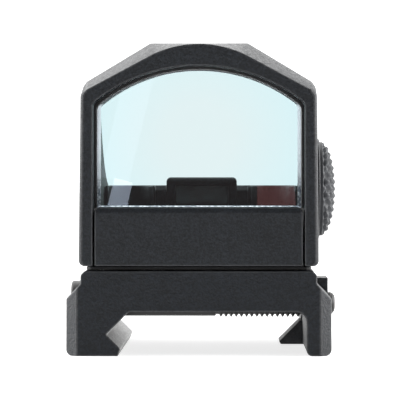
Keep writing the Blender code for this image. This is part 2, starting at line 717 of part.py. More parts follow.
def build_button(materials):
    centre = (BUTTON_Y, BUTTON_Z)
    pivot = (BUTTON_BASE_X, BUTTON_Y, BUTTON_Z)
    turned("brightness_button", "X", centre, button_stations(), materials["rubber"], pivot, 40)
    ring = turned("button_ring", "X", centre, [
        (RING_BACK_X, RING_OUTER_RADIUS), (RING_FRONT_X - FIT, RING_OUTER_RADIUS),
        (RING_FRONT_X, RING_OUTER_RADIUS - FIT),
    ], materials["anodised"], segments=48)
    cut_round(ring, "ring_bore", "X", centre, RING_INNER_RADIUS, RING_BACK_X - OVER, RING_FRONT_X + OVER, 48)
    floor = POCKET_FLOOR_X + FIT
    board_top = floor + SWITCH_THICKNESS
    turned("switch_board", "X", centre, [(floor, SWITCH_RADIUS), (board_top, SWITCH_RADIUS)],
           materials["board"], segments=32)
    snap = board_top + FIT / 2
    turned("snap_dome", "X", centre, [
        (snap, SNAP_RADIUS), (snap + SNAP_RIM, SNAP_RADIUS), (snap + SNAP_HEIGHT, SNAP_CROWN_RADIUS),
    ], materials["steel"], segments=20)


# ---------------------------------------------------------------- emitter and adjusters
def build_emitter_housing(material):
    housing = box("emitter_housing", (-EMITTER_HALF, REAR_BLOCK_Y, EMITTER_BASE_Z),
                  (EMITTER_HALF, EMITTER_REAR_Y, REAR_TOP_Z), material)
    bevel_edges(housing, REAR_CHAMFER, 1, lambda x, y, z: near(z, REAR_TOP_Z) and near(y, REAR_BLOCK_Y))
    bump = box("add_bump", (-BUMP_HALF, REAR_BLOCK_Y - FIT / 2, RECESS_LOW_Z),
               (BUMP_HALF, BUMP_REAR_Y, BUMP_TOP_Z))
    bevel_edges(bump, BUMP_CHAMFER, 2, lambda x, y, z: near(z, BUMP_TOP_Z))
    combine(housing, bump, "UNION")
    cut_box(housing, "emitter_cavity", (-CAVITY_HALF, CAVITY_FRONT_Y, EMITTER_BASE_Z - OVER),
            (CAVITY_HALF, CAVITY_REAR_Y, CAVITY_ROOF_Z))
    cut_box(housing, "emitter_loft", (-LOFT_HALF, CAVITY_FRONT_Y, CAVITY_ROOF_Z - OVER),
            (LOFT_HALF, LOFT_REAR_Y, LOFT_ROOF_Z))
    cut_box(housing, "window_recess", (-RECESS_HALF, REAR_BLOCK_Y - OVER, RECESS_LOW_Z),
            (RECESS_HALF, RECESS_BACK_Y, RECESS_HIGH_Z))
    cut_box(housing, "aperture", (-APERTURE_HALF, REAR_BLOCK_Y, APERTURE_LOW_Z),
            (APERTURE_HALF, CAVITY_FRONT_Y + OVER, APERTURE_HIGH_Z))
    cut_round(housing, "windage_pass", "X", (WINDAGE_Y, WINDAGE_Z), WINDAGE_RADIUS + SEAM,
              -EMITTER_HALF - OVER, -CAVITY_HALF + OVER, 20)
    cut_round(housing, "elevation_access", "Z", (0.0, ELEVATION_Y), ELEVATION_HOLE_RADIUS,
              CAVITY_ROOF_Z - OVER, BUMP_TOP_Z + OVER, 28)
    return housing


def build_emitter_window(material):
    back = RECESS_BACK_Y - FIT
    box("emitter_window", (-RECESS_HALF + FIT, back - WINDOW_THICKNESS, RECESS_LOW_Z + FIT),
        (RECESS_HALF - FIT, back, RECESS_HIGH_Z - FIT), material)


def build_windage(materials):
    sled = box("windage_carriage", (-SLED_HALF, SLED_FRONT_Y, SLED_BASE_Z),
               (SLED_HALF, SLED_REAR_Y, SLED_TOP_Z), materials["contact"], (0.0, WINDAGE_Y, WINDAGE_Z))
    centre = (WINDAGE_Y, WINDAGE_Z)
    cut_round(sled, "windage_nut", "X", centre, WINDAGE_RADIUS + FIT, -SLED_HALF - OVER, SLED_HALF + OVER, 20)
    cut_round(sled, "spring_socket", "Z", (0.0, ELEVATION_Y), SPRING_SOCKET_RADIUS,
              SPRING_SOCKET_Z, SLED_TOP_Z + OVER, 20)
    cut_round(sled, "foot_socket", "Z", (0.0, ELEVATION_Y), ELEVATION_RADIUS + FIT,
              ELEVATION_FOOT_Z - SEAM, SPRING_SOCKET_Z + OVER, 20)
    stations = [
        (WINDAGE_HEAD_X, WINDAGE_HEAD_RADIUS - EDGE), (WINDAGE_HEAD_X + EDGE, WINDAGE_HEAD_RADIUS),
        (WINDAGE_NECK_X, WINDAGE_HEAD_RADIUS), (WINDAGE_NECK_X, WINDAGE_RADIUS),
        (WINDAGE_TIP_X - EDGE, WINDAGE_RADIUS), (WINDAGE_TIP_X, WINDAGE_RADIUS - EDGE),
    ]
    screw = turned("windage_screw", "X", centre, stations, materials["steel_black"],
                   (WINDAGE_HEAD_X, WINDAGE_Y, WINDAGE_Z), 24)
    across = WINDAGE_HEAD_RADIUS + OVER
    cut_box(screw, "windage_slot", (WINDAGE_HEAD_X - OVER, WINDAGE_Y - SLOT_HALF_WIDTH, WINDAGE_Z - across),
            (WINDAGE_HEAD_X + SLOT_DEPTH, WINDAGE_Y + SLOT_HALF_WIDTH, WINDAGE_Z + across))


def build_elevation(materials):
    carriage = box("elevation_carriage", (-LIFT_HALF, LIFT_FRONT_Y, LIFT_BASE_Z),
                   (LIFT_HALF, LIFT_BACK_Y, LIFT_TOP_Z), materials["contact"],
                   (0.0, ELEVATION_Y, LIFT_BASE_Z))
    tongue = box("add_tongue", (-LIFT_HALF, (LIFT_FRONT_Y + LIFT_BACK_Y) / 2, LIFT_BASE_Z),
                 (LIFT_HALF, TONGUE_REAR_Y, TONGUE_TOP_Z))
    combine(carriage, tongue, "UNION")
    cut_round(carriage, "elevation_nut", "Z", (0.0, ELEVATION_Y), ELEVATION_RADIUS + FIT,
              LIFT_BASE_Z - OVER, TONGUE_TOP_Z + OVER, 20)
    stations = [
        (ELEVATION_FOOT_Z, ELEVATION_RADIUS - EDGE), (ELEVATION_FOOT_Z + EDGE, ELEVATION_RADIUS),
        (ELEVATION_NECK_Z, ELEVATION_RADIUS), (ELEVATION_NECK_Z, ELEVATION_HEAD_RADIUS),
        (ELEVATION_HEAD_Z - EDGE, ELEVATION_HEAD_RADIUS), (ELEVATION_HEAD_Z, ELEVATION_HEAD_RADIUS - EDGE),
    ]
    screw = turned("elevation_screw", "Z", (0.0, ELEVATION_Y), stations, materials["steel_black"],
                   (0.0, ELEVATION_Y, ELEVATION_HEAD_Z), 24)
    across = ELEVATION_HEAD_RADIUS + OVER
    cut_box(screw, "elevation_slot", (-across, ELEVATION_Y - SLOT_HALF_WIDTH, ELEVATION_HEAD_Z - SLOT_DEPTH),
            (across, ELEVATION_Y + SLOT_HALF_WIDTH, ELEVATION_HEAD_Z + OVER))
    led_back = LIFT_FRONT_Y - FIT
    box("led_emitter", (-LED_HALF, led_back - LED_DEPTH, LED_LOW_Z), (LED_HALF, led_back, LED_HIGH_Z),
        materials["led"])


def coil(name, axis, centre, low, high, turns, material, pivot):
    """A compression spring as one closed tube along a helix."""
    radius = SPRING_RADIUS
    wire = SPRING_WIRE
    steps_per_turn = 12
    ring_points = 5
    count = turns * steps_per_turn
    bm = bmesh.new()
    sections = []
    for step in range(count + 1):
        angle = 2 * pi * step / steps_per_turn
        height = low + wire + (high - low - 2 * wire) * step / count
        loop = []
        for corner in range(ring_points):
            tilt = 2 * pi * corner / ring_points
            reach = radius + wire * cos(tilt)
            rise = height + wire * sin(tilt)
            across = (centre[0] + reach * cos(angle), centre[1] + reach * sin(angle))
            loop.append((rise, *across) if axis == "X" else (*across, rise))
        sections.append(loop)
    loft_into(bm, sections)
    return add_object(name, bm, material, pivot, smooth=True)


def build_springs(material):
    foot_z = SPRING_SOCKET_Z + FIT
    coil("elevation_spring", "Z", (0.0, ELEVATION_Y), foot_z, ELEVATION_SPRING_TOP_Z, 3, material,
         (0.0, ELEVATION_Y, foot_z))
    coil("windage_spring", "X", (WINDAGE_Y, WINDAGE_Z), SLED_HALF + FIT, WINDAGE_SPRING_END_X, 2, material,
         (SLED_HALF + FIT, WINDAGE_Y, WINDAGE_Z))


# ---------------------------------------------------------------- electronics
def strip_into(bm, path, low_x, high_x):
    """A bent metal strip: a path in Y and Z, thickened and extruded along X."""
    half = CONTACT_THICKNESS / 2
    upper = []
    lower = []
    for index, point in enumerate(path):
        before = Vector(path[max(index - 1, 0)])
        after = Vector(path[min(index + 1, len(path) - 1)])
        direction = (after - before).normalized()
        normal = Vector((-direction.y, direction.x)) * half
        upper.append(tuple(Vector(point) + normal))
        lower.append(tuple(Vector(point) - normal))
    prism_into(bm, "X", upper + list(reversed(lower)), low_x, high_x)


def build_battery(materials):
    turned("coin_battery", "Z", (0.0, BATTERY_Y), [
        (BATTERY_LOW_Z, BATTERY_RADIUS - BATTERY_ROUND), (BATTERY_LOW_Z + BATTERY_ROUND, BATTERY_RADIUS),
        (BATTERY_CAN_Z, BATTERY_RADIUS), (BATTERY_CAN_Z + FIT, BATTERY_RADIUS - BATTERY_CAP_INSET),
        (BATTERY_TOP_Z, BATTERY_RADIUS - BATTERY_CAP_INSET - BATTERY_ROUND),
    ], materials["steel"], segments=40)
    over_z = BATTERY_TOP_Z + SEAM
    rise_y = CHANNEL_REAR_Y - CONTACT_SLANT
    run = [
        (rise_y, CONTACT_DIP_Z),
        (rise_y + CONTACT_SLANT / 2, CONTACT_RUN_Z),
        (CONTACT_END_Y, CONTACT_RUN_Z),
    ]
    side_y = BATTERY_Y + sqrt(BATTERY_RADIUS ** 2 - CONTACT_X ** 2) + CONTACT_GAP
    bend_y = side_y + CONTACT_GAP
    over = [(CONTACT_TAIL_Y, over_z), (bend_y, over_z), (bend_y + CONTACT_SLANT, CONTACT_DIP_Z)]
    beside = [(side_y, BATTERY_CAN_Z), (side_y, CONTACT_DIP_Z)]
    routes = {
        "battery_contact_negative": (-1, over + run),
        "battery_contact_positive": (1, beside + run),
    }
    for name, (sign, path) in routes.items():
        bm = bmesh.new()
        middle = sign * CONTACT_X
        strip_into(bm, path, middle - CONTACT_HALF_WIDTH, middle + CONTACT_HALF_WIDTH)
        add_object(name, bm, materials["contact"])


def build_circuit_board(materials):
    box("circuit_board", (-BOARD_HALF, BOARD_FRONT_Y, BOARD_LOW_Z), (BOARD_HALF, BOARD_BACK_Y, BOARD_HIGH_Z),
        materials["board"])
    box("driver_chip", (CHIP_LOW_X, CHIP_FRONT_Y, CHIP_LOW_Z), (CHIP_HIGH_X, CHIP_BACK_Y, CHIP_HIGH_Z),
        materials["chip"])


# ---------------------------------------------------------------- fasteners, pins and gasket
def build_sight_screws(material):
    trim = SIGHT_SCREW_CHAMFER
    for side, sign in SIDES:
        centre = (sign * SIGHT_SCREW_X, SIGHT_SCREW_Y)
        stations = [
            (SIGHT_SCREW_TIP_Z, SIGHT_SCREW_RADIUS - trim), (SIGHT_SCREW_TIP_Z + trim, SIGHT_SCREW_RADIUS),
            (SIGHT_HEAD_LOW_Z, SIGHT_SCREW_RADIUS), (SIGHT_HEAD_LOW_Z, SIGHT_HEAD_RADIUS),
            (SIGHT_HEAD_TOP_Z - trim, SIGHT_HEAD_RADIUS), (SIGHT_HEAD_TOP_Z, SIGHT_HEAD_RADIUS - trim),
        ]
        screw = turned(f"sight_screw_{side}", "Z", centre, stations, material, segments=24)
        cut_round(screw, f"sight_socket_{side}", "Z", centre, SIGHT_SOCKET_RADIUS,
                  SIGHT_HEAD_TOP_Z - SIGHT_SOCKET_DEPTH, SIGHT_HEAD_TOP_Z + OVER, 6)


def build_pins(material):
    for side, sign in SIDES:
        for end, pin_y in zip(ENDS, PIN_Y):
            turned(f"locating_pin_{side}_{end}", "Z", (sign * PIN_X, pin_y), [
                (PIN_FOOT_Z, PIN_RADIUS), (PIN_TIP_Z - PIN_CHAMFER, PIN_RADIUS),
                (PIN_TIP_Z, PIN_RADIUS - PIN_CHAMFER),
            ], material, segments=16)


def build_gasket(material):
    corner = GASKET_CORNER
    middle_x = GASKET_HALF - corner
    low_y = FRONT_Y + GASKET_FRONT_SETBACK + corner
    high_y = MOUNT_REAR_Y - GASKET_REAR_SETBACK - corner
    corners = [(middle_x, high_y), (-middle_x, high_y), (-middle_x, low_y), (middle_x, low_y)]
    outline = []
    for index, centre in enumerate(corners):
        outline += arc_points(centre, corner, index * pi / 2, (index + 1) * pi / 2, 3)
    low_z, high_z = MOUNT_TOP_Z + FIT, BODY_BASE_Z - FIT
    gasket = prism("base_gasket", "Z", outline, low_z, high_z, material)
    for side, sign in SIDES:
        cut_round(gasket, f"gasket_screw_{side}", "Z", (sign * SIGHT_SCREW_X, SIGHT_SCREW_Y),
                  SIGHT_SCREW_RADIUS + SEAM, low_z - OVER, high_z + OVER, 20)
        for end, pin_y in zip(ENDS, PIN_Y):
            cut_round(gasket, f"gasket_pin_{side}_{end}", "Z", (sign * PIN_X, pin_y),
                      PIN_RADIUS + EDGE, low_z - OVER, high_z + OVER, 16)
    return gasket


# ---------------------------------------------------------------- assembly
def main():
    clear_scene()
    materials = make_materials()
    build_rail_mount(materials["anodised"])
    build_clamp_jaw(materials["anodised"])
    build_clamp_screw(materials["steel_black"])
    build_main_housing(materials["anodised"])
    build_hood(materials["anodised"])
    build_hood_screws(materials["steel_black"])
    build_lens(materials["glass"])
    build_lens_seal(materials["seal"])
    build_button(materials)
    build_emitter_housing(materials["anodised"])
    build_emitter_window(materials["glass"])
    build_windage(materials)
    build_elevation(materials)
    build_springs(materials["steel"])
    build_battery(materials)
    build_circuit_board(materials)
    build_sight_screws(materials["steel_black"])
    build_pins(materials["steel"])
    build_gasket(materials["seal"])


main()
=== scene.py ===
"""Looks of a compact reflex red dot finder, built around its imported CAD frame.

Names that end in _MM are in millimetres and all other lengths are in metres, in the CAD frame:
+X is the button side, -Y the objective end, +Z up.
"""

import json
from math import atan2, cos, pi, radians, sin, sqrt

import bmesh
import bpy
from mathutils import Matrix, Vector
from mathutils.geometry import delaunay_2d_cdt


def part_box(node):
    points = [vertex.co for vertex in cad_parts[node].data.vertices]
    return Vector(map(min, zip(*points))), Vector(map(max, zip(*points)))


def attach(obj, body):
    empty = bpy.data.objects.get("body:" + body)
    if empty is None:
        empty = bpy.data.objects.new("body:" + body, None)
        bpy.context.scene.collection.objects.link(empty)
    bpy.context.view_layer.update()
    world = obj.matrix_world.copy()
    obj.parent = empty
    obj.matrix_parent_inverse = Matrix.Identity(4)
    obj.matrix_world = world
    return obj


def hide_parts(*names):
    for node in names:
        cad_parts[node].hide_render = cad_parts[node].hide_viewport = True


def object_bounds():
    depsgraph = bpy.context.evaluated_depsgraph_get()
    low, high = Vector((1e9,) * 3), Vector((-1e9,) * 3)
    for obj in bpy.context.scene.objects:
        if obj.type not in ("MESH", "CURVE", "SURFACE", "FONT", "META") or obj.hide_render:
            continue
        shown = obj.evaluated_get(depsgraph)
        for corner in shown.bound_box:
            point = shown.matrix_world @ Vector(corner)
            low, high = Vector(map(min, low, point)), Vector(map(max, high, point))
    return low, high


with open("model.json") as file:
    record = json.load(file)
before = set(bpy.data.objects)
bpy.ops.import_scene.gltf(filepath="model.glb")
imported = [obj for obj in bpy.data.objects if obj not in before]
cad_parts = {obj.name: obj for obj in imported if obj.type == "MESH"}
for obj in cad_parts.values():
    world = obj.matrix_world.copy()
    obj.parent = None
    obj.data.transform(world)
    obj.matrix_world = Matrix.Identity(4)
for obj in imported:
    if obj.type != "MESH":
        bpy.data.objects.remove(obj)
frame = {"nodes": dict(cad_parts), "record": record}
cad_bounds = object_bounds()

MM = 0.001

# ---------------------------------------------------------------- sizes
EDGE_ROUND = 0.16 * MM
FINE_ROUND = 0.07 * MM
SHARP_ANGLE = radians(28)
FLATNESS = 0.002 * MM
SAME_DIRECTION = 0.9999
MERGE_DISTANCE = 0.0005 * MM
SLIVER = 0.001 * MM
MERGE_ANGLE = radians(0.5)

CASTING_ROUND = 0.18 * MM
COVER_ROUND = 0.12 * MM
BEZEL_ROUND = 0.05 * MM
SEAL_ROUND = 0.05 * MM
GASKET_ROUND = 0.03 * MM
ADDED_SLOT = 2  # index of a casting's third material, after its skin and its rounded edges

# Where close fits keep their CAD edges: the battery well, the emitter pocket's mouth and the bolt's bore
WELL_TOP_MM = 9.2
WELL_HALF_MM = 8.5
MOUTH_HALF_MM = 6.8
MOUTH_START_MM = 5.0
MOUTH_END_MM = 9.6
BORE_END_MM = 14.0
BORE_REACH_MM = 2.2

BOLT_SEGMENTS = 72
BOLT_CREST = 1.75 * MM
BOLT_HEAD_ROUND = 0.4 * MM
BOLT_SEAT_INSET = 0.95 * MM
BOLT_TIP_ROUND = 0.6 * MM
BOLT_SOCKET = 1.25 * MM
SHANK_SLIMMING = 0.11 * MM
THREAD_PITCH = 0.65 * MM
THREAD_DEPTH = 0.34 * MM
THREAD_START_X = 2.0 * MM
THREAD_SAMPLES = 12
THREAD_CREST_SHARE = 0.08
THREAD_FLANK_SHARE = 0.33
THREAD_SHARP_ANGLE = radians(40)
SQUEEZED = 0.005  # share of its overrun kept by a row that is held back at an end of the thread

LENS_BULGE = 0.2 * MM
LENS_LEAN = 0.6 * MM
LENS_SIDE_BEVEL = 0.42 * MM
LENS_FOOT_BEVEL = 0.24 * MM
LENS_ARCH_BEVEL = 0.18 * MM
LENS_BEVEL_DEPTH = 0.25 * MM
LENS_CORNER = 1.2 * MM
LENS_RADIUS = 19.0 * MM
LENS_SHELLS = 16
LENS_SHARP_ANGLE = radians(6)
ARCH_STEPS = 40
SIDE_STEPS = 8

BUTTON_RINGS = 90
BUTTON_SEGMENTS = 240
BUTTON_SINK = 0.2 * MM
BUTTON_WALL = 0.8 * MM
LATTICE_ACROSS = 2.0 * MM
LATTICE_UP = 1.7 * MM
LATTICE_DEPTH = 0.56 * MM
LATTICE_START = 0.1 * MM
LATTICE_FADE = 0.3 * MM
DIMPLE_SHARE = 0.68
RIDGE_SHARE = 0.32

SPRING_WIRE = 0.17 * MM
SPRING_INSET = 1.1 * SPRING_WIRE
SPRING_CORNERS = 12
SPRING_STEPS = 40
SPRING_END_SQUEEZE = 0.045
ELEVATION_SPARE = 0.45 * MM

STAGE_HALF = 4.0
CAMERA_DISTANCE = 0.310
CAMERA_X = 0.0043
CAMERA_Z = 0.01556
AIM_X = 0.00016
AIM_Z = 0.01321
FOCAL_LENGTH_MM = 237.15
SENSOR_MM = 36.0

nodes = frame["nodes"]


# ---------------------------------------------------------------- materials
def start_material(name):
    material = bpy.data.materials.new(name)
    material.use_nodes = True
    tree = material.node_tree
    shader = tree.nodes["Principled BSDF"]
    place = tree.nodes.new("ShaderNodeTexCoord")
    return material, tree, shader, place.outputs["Object"]


def noise(tree, place, scale, detail=3.0, roughness=0.55):
    node = tree.nodes.new("ShaderNodeTexNoise")
    node.inputs["Scale"].default_value = scale
    node.inputs["Detail"].default_value = detail
    node.inputs["Roughness"].default_value = roughness
    tree.links.new(place, node.inputs["Vector"])
    return node.outputs["Fac"]


def stretched(tree, place, scale):
    node = tree.nodes.new("ShaderNodeMapping")
    node.inputs["Scale"].default_value = scale
    tree.links.new(place, node.inputs["Vector"])
    return node.outputs["Vector"]


def spread(tree, value, low, high, from_low=0.3, from_high=0.7):
    """Map a texture value onto a range."""
    node = tree.nodes.new("ShaderNodeMapRange")
    node.inputs["From Min"].default_value = from_low
    node.inputs["From Max"].default_value = from_high
    node.inputs["To Min"].default_value = low
    node.inputs["To Max"].default_value = high
    tree.links.new(value, node.inputs["Value"])
    return node.outputs["Result"]


def shade(tree, value, dark, light, from_low=0.3, from_high=0.7):
    """Blend two colours by a texture value."""
    ramp = tree.nodes.new("ShaderNodeValToRGB")
    ramp.color_ramp.elements[0].position = from_low
    ramp.color_ramp.elements[0].color = (*dark, 1.0)
    ramp.color_ramp.elements[1].position = from_high
    ramp.color_ramp.elements[1].color = (*light, 1.0)
    tree.links.new(value, ramp.inputs["Fac"])
    return ramp.outputs["Color"]


def blend(tree, first, second, share):
    """Mix two texture values, with the given share of the first."""
    weighed = tree.nodes.new("ShaderNodeMath")
    weighed.operation = "MULTIPLY"
    weighed.inputs[1].default_value = 1.0 - share
    tree.links.new(second, weighed.inputs[0])
    total = tree.nodes.new("ShaderNodeMath")
    total.operation = "MULTIPLY_ADD"
    total.inputs[1].default_value = share
    tree.links.new(first, total.inputs[0])
    tree.links.new(weighed.outputs[0], total.inputs[2])
    return total.outputs[0]


def raised(tree, shader, layers):
    """Chain bump layers, given as (height, strength, distance), into the shader's normal."""
    normal = None
    for height, strength, distance in layers:
        bump = tree.nodes.new("ShaderNodeBump")
        bump.inputs["Strength"].default_value = strength
        bump.inputs["Distance"].default_value = distance
        tree.links.new(height, bump.inputs["Height"])
        if normal is not None:
            tree.links.new(normal, bump.inputs["Normal"])
        normal = bump.outputs["Normal"]
    tree.links.new(normal, shader.inputs["Normal"])


def finish_surface(tree, shader, color, roughness, metallic=0.0, specular=0.5):
    tree.links.new(color, shader.inputs["Base Color"])
    tree.links.new(roughness, shader.inputs["Roughness"])
    shader.inputs["Metallic"].default_value = metallic
    shader.inputs["Specular IOR Level"].default_value = specular


def blasted_aluminium(name, dark, light, rough, specular, grain):
    """Black anodising over a bead-blasted skin: fine pits with a slow change of tone."""
    material, tree, shader, place = start_material(name)
    pits = noise(tree, place, 4400, detail=3.0, roughness=0.6)
    mottle = noise(tree, place, 2000, detail=2.0, roughness=0.5)
    drift = noise(tree, place, 160, detail=2.0, roughness=0.5)
    tone = blend(tree, pits, drift, share=0.85)
    color = shade(tree, tone, dark, light, 0.40, 0.60)
    roughness = spread(tree, mottle, rough - 0.06, rough + 0.08)
    finish_surface(tree, shader, color, roughness, specular=specular)
    raised(tree, shader, [(mottle, grain * 0.5, 0.10 * MM), (pits, grain, 0.07 * MM)])
    return material


def oxide_steel(name, dark, light, rough):
    """Oiled black oxide on turned steel, with faint turning marks."""
    material, tree, shader, place = start_material(name)
    turning = noise(tree, stretched(tree, place, (1.0, 0.12, 0.12)), 9000, detail=2.0)
    stain = noise(tree, place, 700, detail=4.0, roughness=0.6)
    color = shade(tree, stain, dark, light)
    roughness = spread(tree, stain, rough - 0.06, rough + 0.1)
    finish_surface(tree, shader, color, roughness, specular=0.35)
    raised(tree, shader, [(turning, 0.12, 0.02 * MM)])
    return material


def bright_metal(name, dark, light, rough):
    """Bare metal with fine lines drawn along X."""
    material, tree, shader, place = start_material(name)
    lines = noise(tree, stretched(tree, place, (0.15, 1.0, 1.0)), 12000, detail=2.0)
    stain = noise(tree, place, 500, detail=3.0, roughness=0.55)
    color = shade(tree, stain, dark, light)
    roughness = spread(tree, lines, rough - 0.06, rough + 0.12)
    finish_surface(tree, shader, color, roughness, metallic=1.0)
    raised(tree, shader, [(lines, 0.1, 0.01 * MM)])
    return material


def moulded(name, dark, light, rough, specular=0.4, grain=0.3, scale=4200):
    """Moulded rubber or plastic with a fine spark-eroded skin."""
    material, tree, shader, place = start_material(name)
    sparks = noise(tree, place, scale, detail=3.0, roughness=0.6)
    tone = noise(tree, place, 380, detail=3.0, roughness=0.5)
    color = shade(tree, tone, dark, light)
    roughness = spread(tree, sparks, rough - 0.08, rough + 0.1)
    finish_surface(tree, shader, color, roughness, specular=specular)
    raised(tree, shader, [(sparks, grain, 0.04 * MM)])
    return material


def board_material():
    """Green solder mask with slightly raised copper runs under it."""
    material, tree, shader, place = start_material("solder_mask")
    weave = tree.nodes.new("ShaderNodeTexBrick")
    weave.inputs["Scale"].default_value = 900
    weave.inputs["Mortar Size"].default_value = 0.03
    weave.inputs["Color1"].default_value = (0.010, 0.085, 0.035, 1.0)
    weave.inputs["Color2"].default_value = (0.013, 0.105, 0.045, 1.0)
    weave.inputs["Mortar"].default_value = (0.03, 0.18, 0.08, 1.0)
    tree.links.new(place, weave.inputs["Vector"])
    tone = noise(tree, place, 1200)
    finish_surface(tree, shader, weave.outputs["Color"], spread(tree, tone, 0.28, 0.45))
    raised(tree, shader, [(weave.outputs["Fac"], 0.4, 0.02 * MM), (tone, 0.1, 0.01 * MM)])
    return material


def polished_glass():
    """Coated optical glass that passes a faint cyan, stronger towards its rim."""
    material, tree, shader, place = start_material("coated_glass")
    low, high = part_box("objective_lens")
    half = (high.x - low.x) / 2
    from_middle = tree.nodes.new("ShaderNodeMapping")
    from_middle.inputs["Scale"].default_value = (1 / half, 0.0, 1 / half)
    from_middle.inputs["Location"].default_value = (0.0, 0.0, -(low.z + high.z) / 2 / half)
    tree.links.new(place, from_middle.inputs["Vector"])
    reach = tree.nodes.new("ShaderNodeVectorMath")
    reach.operation = "LENGTH"
    tree.links.new(from_middle.outputs["Vector"], reach.inputs[0])
    color = shade(tree, reach.outputs["Value"], (0.54, 0.623, 0.632), (0.495, 0.632, 0.655), 0.35, 1.0)
    tree.links.new(color, shader.inputs["Base Color"])
    smear = noise(tree, place, 260, detail=3.0, roughness=0.5)
    tree.links.new(spread(tree, smear, 0.0, 0.012), shader.inputs["Roughness"])
    shader.inputs["Transmission Weight"].default_value = 1.0
    shader.inputs["IOR"].default_value = 1.5
    shader.inputs["Specular Tint"].default_value = (1.0, 0.84, 0.86, 1.0)
    return material


def ground_glass():
    """The finely ground bevel and rim of the lens, chipped near its foot."""
    material, tree, shader, place = start_material("ground_glass")
    chips = tree.nodes.new("ShaderNodeTexVoronoi")
    chips.inputs["Scale"].default_value = 2600
    tree.links.new(place, chips.inputs["Vector"])
    grind = noise(tree, place, 7000, detail=3.0, roughness=0.7)
    split = tree.nodes.new("ShaderNodeSeparateXYZ")
    tree.links.new(place, split.inputs["Vector"])
    foot_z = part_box("objective_lens")[0].z
    near_foot = spread(tree, split.outputs["Z"], 1.0, 0.0, foot_z + 2.5 * MM, foot_z + 4.5 * MM)
    chipped = tree.nodes.new("ShaderNodeMath")
    chipped.operation = "MULTIPLY"
    tree.links.new(chips.outputs["Distance"], chipped.inputs[0])
    tree.links.new(near_foot, chipped.inputs[1])
    color = shade(tree, chipped.outputs[0], (0.82, 0.88, 0.96), (0.10, 0.12, 0.16), 0.22, 0.62)
    tree.links.new(color, shader.inputs["Base Color"])
    tree.links.new(spread(tree, grind, 0.25, 0.6), shader.inputs["Roughness"])
    shader.inputs["Transmission Weight"].default_value = 0.7
    shader.inputs["IOR"].default_value = 1.5
    raised(tree, shader, [(chips.outputs["Distance"], 0.6, 0.05 * MM), (grind, 0.5, 0.03 * MM)])
    return material


def window_glass():
    """The emitter's dark red window."""
    material, tree, shader, place = start_material("window_glass")
    smear = noise(tree, place, 900)
    color = shade(tree, smear, (0.06, 0.02, 0.02), (0.10, 0.035, 0.03))
    tree.links.new(color, shader.inputs["Base Color"])
    tree.links.new(spread(tree, smear, 0.02, 0.08), shader.inputs["Roughness"])
    shader.inputs["Transmission Weight"].default_value = 0.9
    shader.inputs["IOR"].default_value = 1.5
    return material


def led_package():
    """Clear red moulding round the light source."""
    material, tree, shader, place = start_material("led_package")
    bands = noise(tree, place, 1800, detail=2.0)
    color = shade(tree, bands, (0.45, 0.02, 0.015), (0.7, 0.05, 0.035))
    finish_surface(tree, shader, color, spread(tree, bands, 0.15, 0.3))
    raised(tree, shader, [(bands, 0.15, 0.02 * MM)])
    return material


BODY = blasted_aluminium(
    "anodised_black", (0.0004, 0.0012, 0.0026), (0.0082, 0.0108, 0.0150),
    rough=0.48, specular=0.34, grain=0.9)
BODY_EDGE = blasted_aluminium(
    "anodised_edge", (0.007, 0.008, 0.010), (0.026, 0.028, 0.032),
    rough=0.45, specular=0.42, grain=0.35)
# Painted highlight: a lighter copy of the black anodising, standing in for light caught by the
# forward-sloping rounding above the lens sill
SILL_PAINTED_HIGHLIGHT = blasted_aluminium(
    "anodised_sill_painted_highlight", (0.012, 0.014, 0.017), (0.046, 0.050, 0.056),
    rough=0.45, specular=0.45, grain=0.35)
# Painted light: a lighter copy of the black anodising for the hood's inner side walls, standing in for the
# light that falls on them through the window
HOOD_INSIDE_PAINTED_LIGHT = blasted_aluminium(
    "anodised_inside_painted_light", (0.018, 0.020, 0.020), (0.062, 0.067, 0.064),
    rough=0.60, specular=0.4, grain=0.25)
MOUNT = blasted_aluminium(
    "anodised_mount", (0.0002, 0.0010, 0.0024), (0.0056, 0.0082, 0.0126),
    rough=0.44, specular=0.32, grain=1.0)
# Painted highlight: a much lighter copy of the black anodising, standing in for the grazing reflection on
# the left lip's slanted face in the channel
LIP_PAINTED_HIGHLIGHT = blasted_aluminium(
    "anodised_lip_painted_highlight", (0.040, 0.040, 0.040), (0.190, 0.188, 0.184),
    rough=0.31, specular=0.7, grain=1.0)
JAW = blasted_aluminium(
    "anodised_jaw", (0.0010, 0.0016, 0.0026), (0.0080, 0.0100, 0.0134),
    rough=0.42, specular=0.38, grain=0.6)
MOUNT_EDGE = blasted_aluminium(
    "mount_edge", (0.007, 0.008, 0.010), (0.026, 0.028, 0.031),
    rough=0.45, specular=0.42, grain=0.35)
BLACK_STEEL = oxide_steel("black_oxide", (0.006, 0.006, 0.006), (0.018, 0.017, 0.017), rough=0.42)
STEEL = bright_metal("bright_steel", (0.46, 0.46, 0.47), (0.62, 0.62, 0.63), rough=0.25)
BRASS = bright_metal("bright_brass", (0.62, 0.42, 0.17), (0.80, 0.58, 0.26), rough=0.25)
RUBBER = moulded(
    "button_rubber", (0.019, 0.0208, 0.0242), (0.031, 0.0335, 0.0385), rough=0.55, grain=0.35)
SEAL = moulded(
    "seal_rubber", (0.006, 0.006, 0.007), (0.014, 0.014, 0.015), rough=0.6, specular=0.3, grain=0.4)
PACKAGE = moulded(
    "chip_package", (0.012, 0.012, 0.013), (0.022, 0.022, 0.024), rough=0.4, scale=6000)
BOARD = board_material()
GLASS = polished_glass()
GROUND = ground_glass()
WINDOW = window_glass()
LED = led_package()


# ---------------------------------------------------------------- mesh helpers
def link_piece(name, mesh, materials, body, slot, *replaced):
    """Make a mesh into a shown piece that rides on a body and stands for CAD nodes."""
    piece = bpy.data.objects.new(name, mesh)
    bpy.context.scene.collection.objects.link(piece)
    for material in materials:
        mesh.materials.append(material)
    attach(piece, body)
    if replaced:
        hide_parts(*replaced)
    return piece


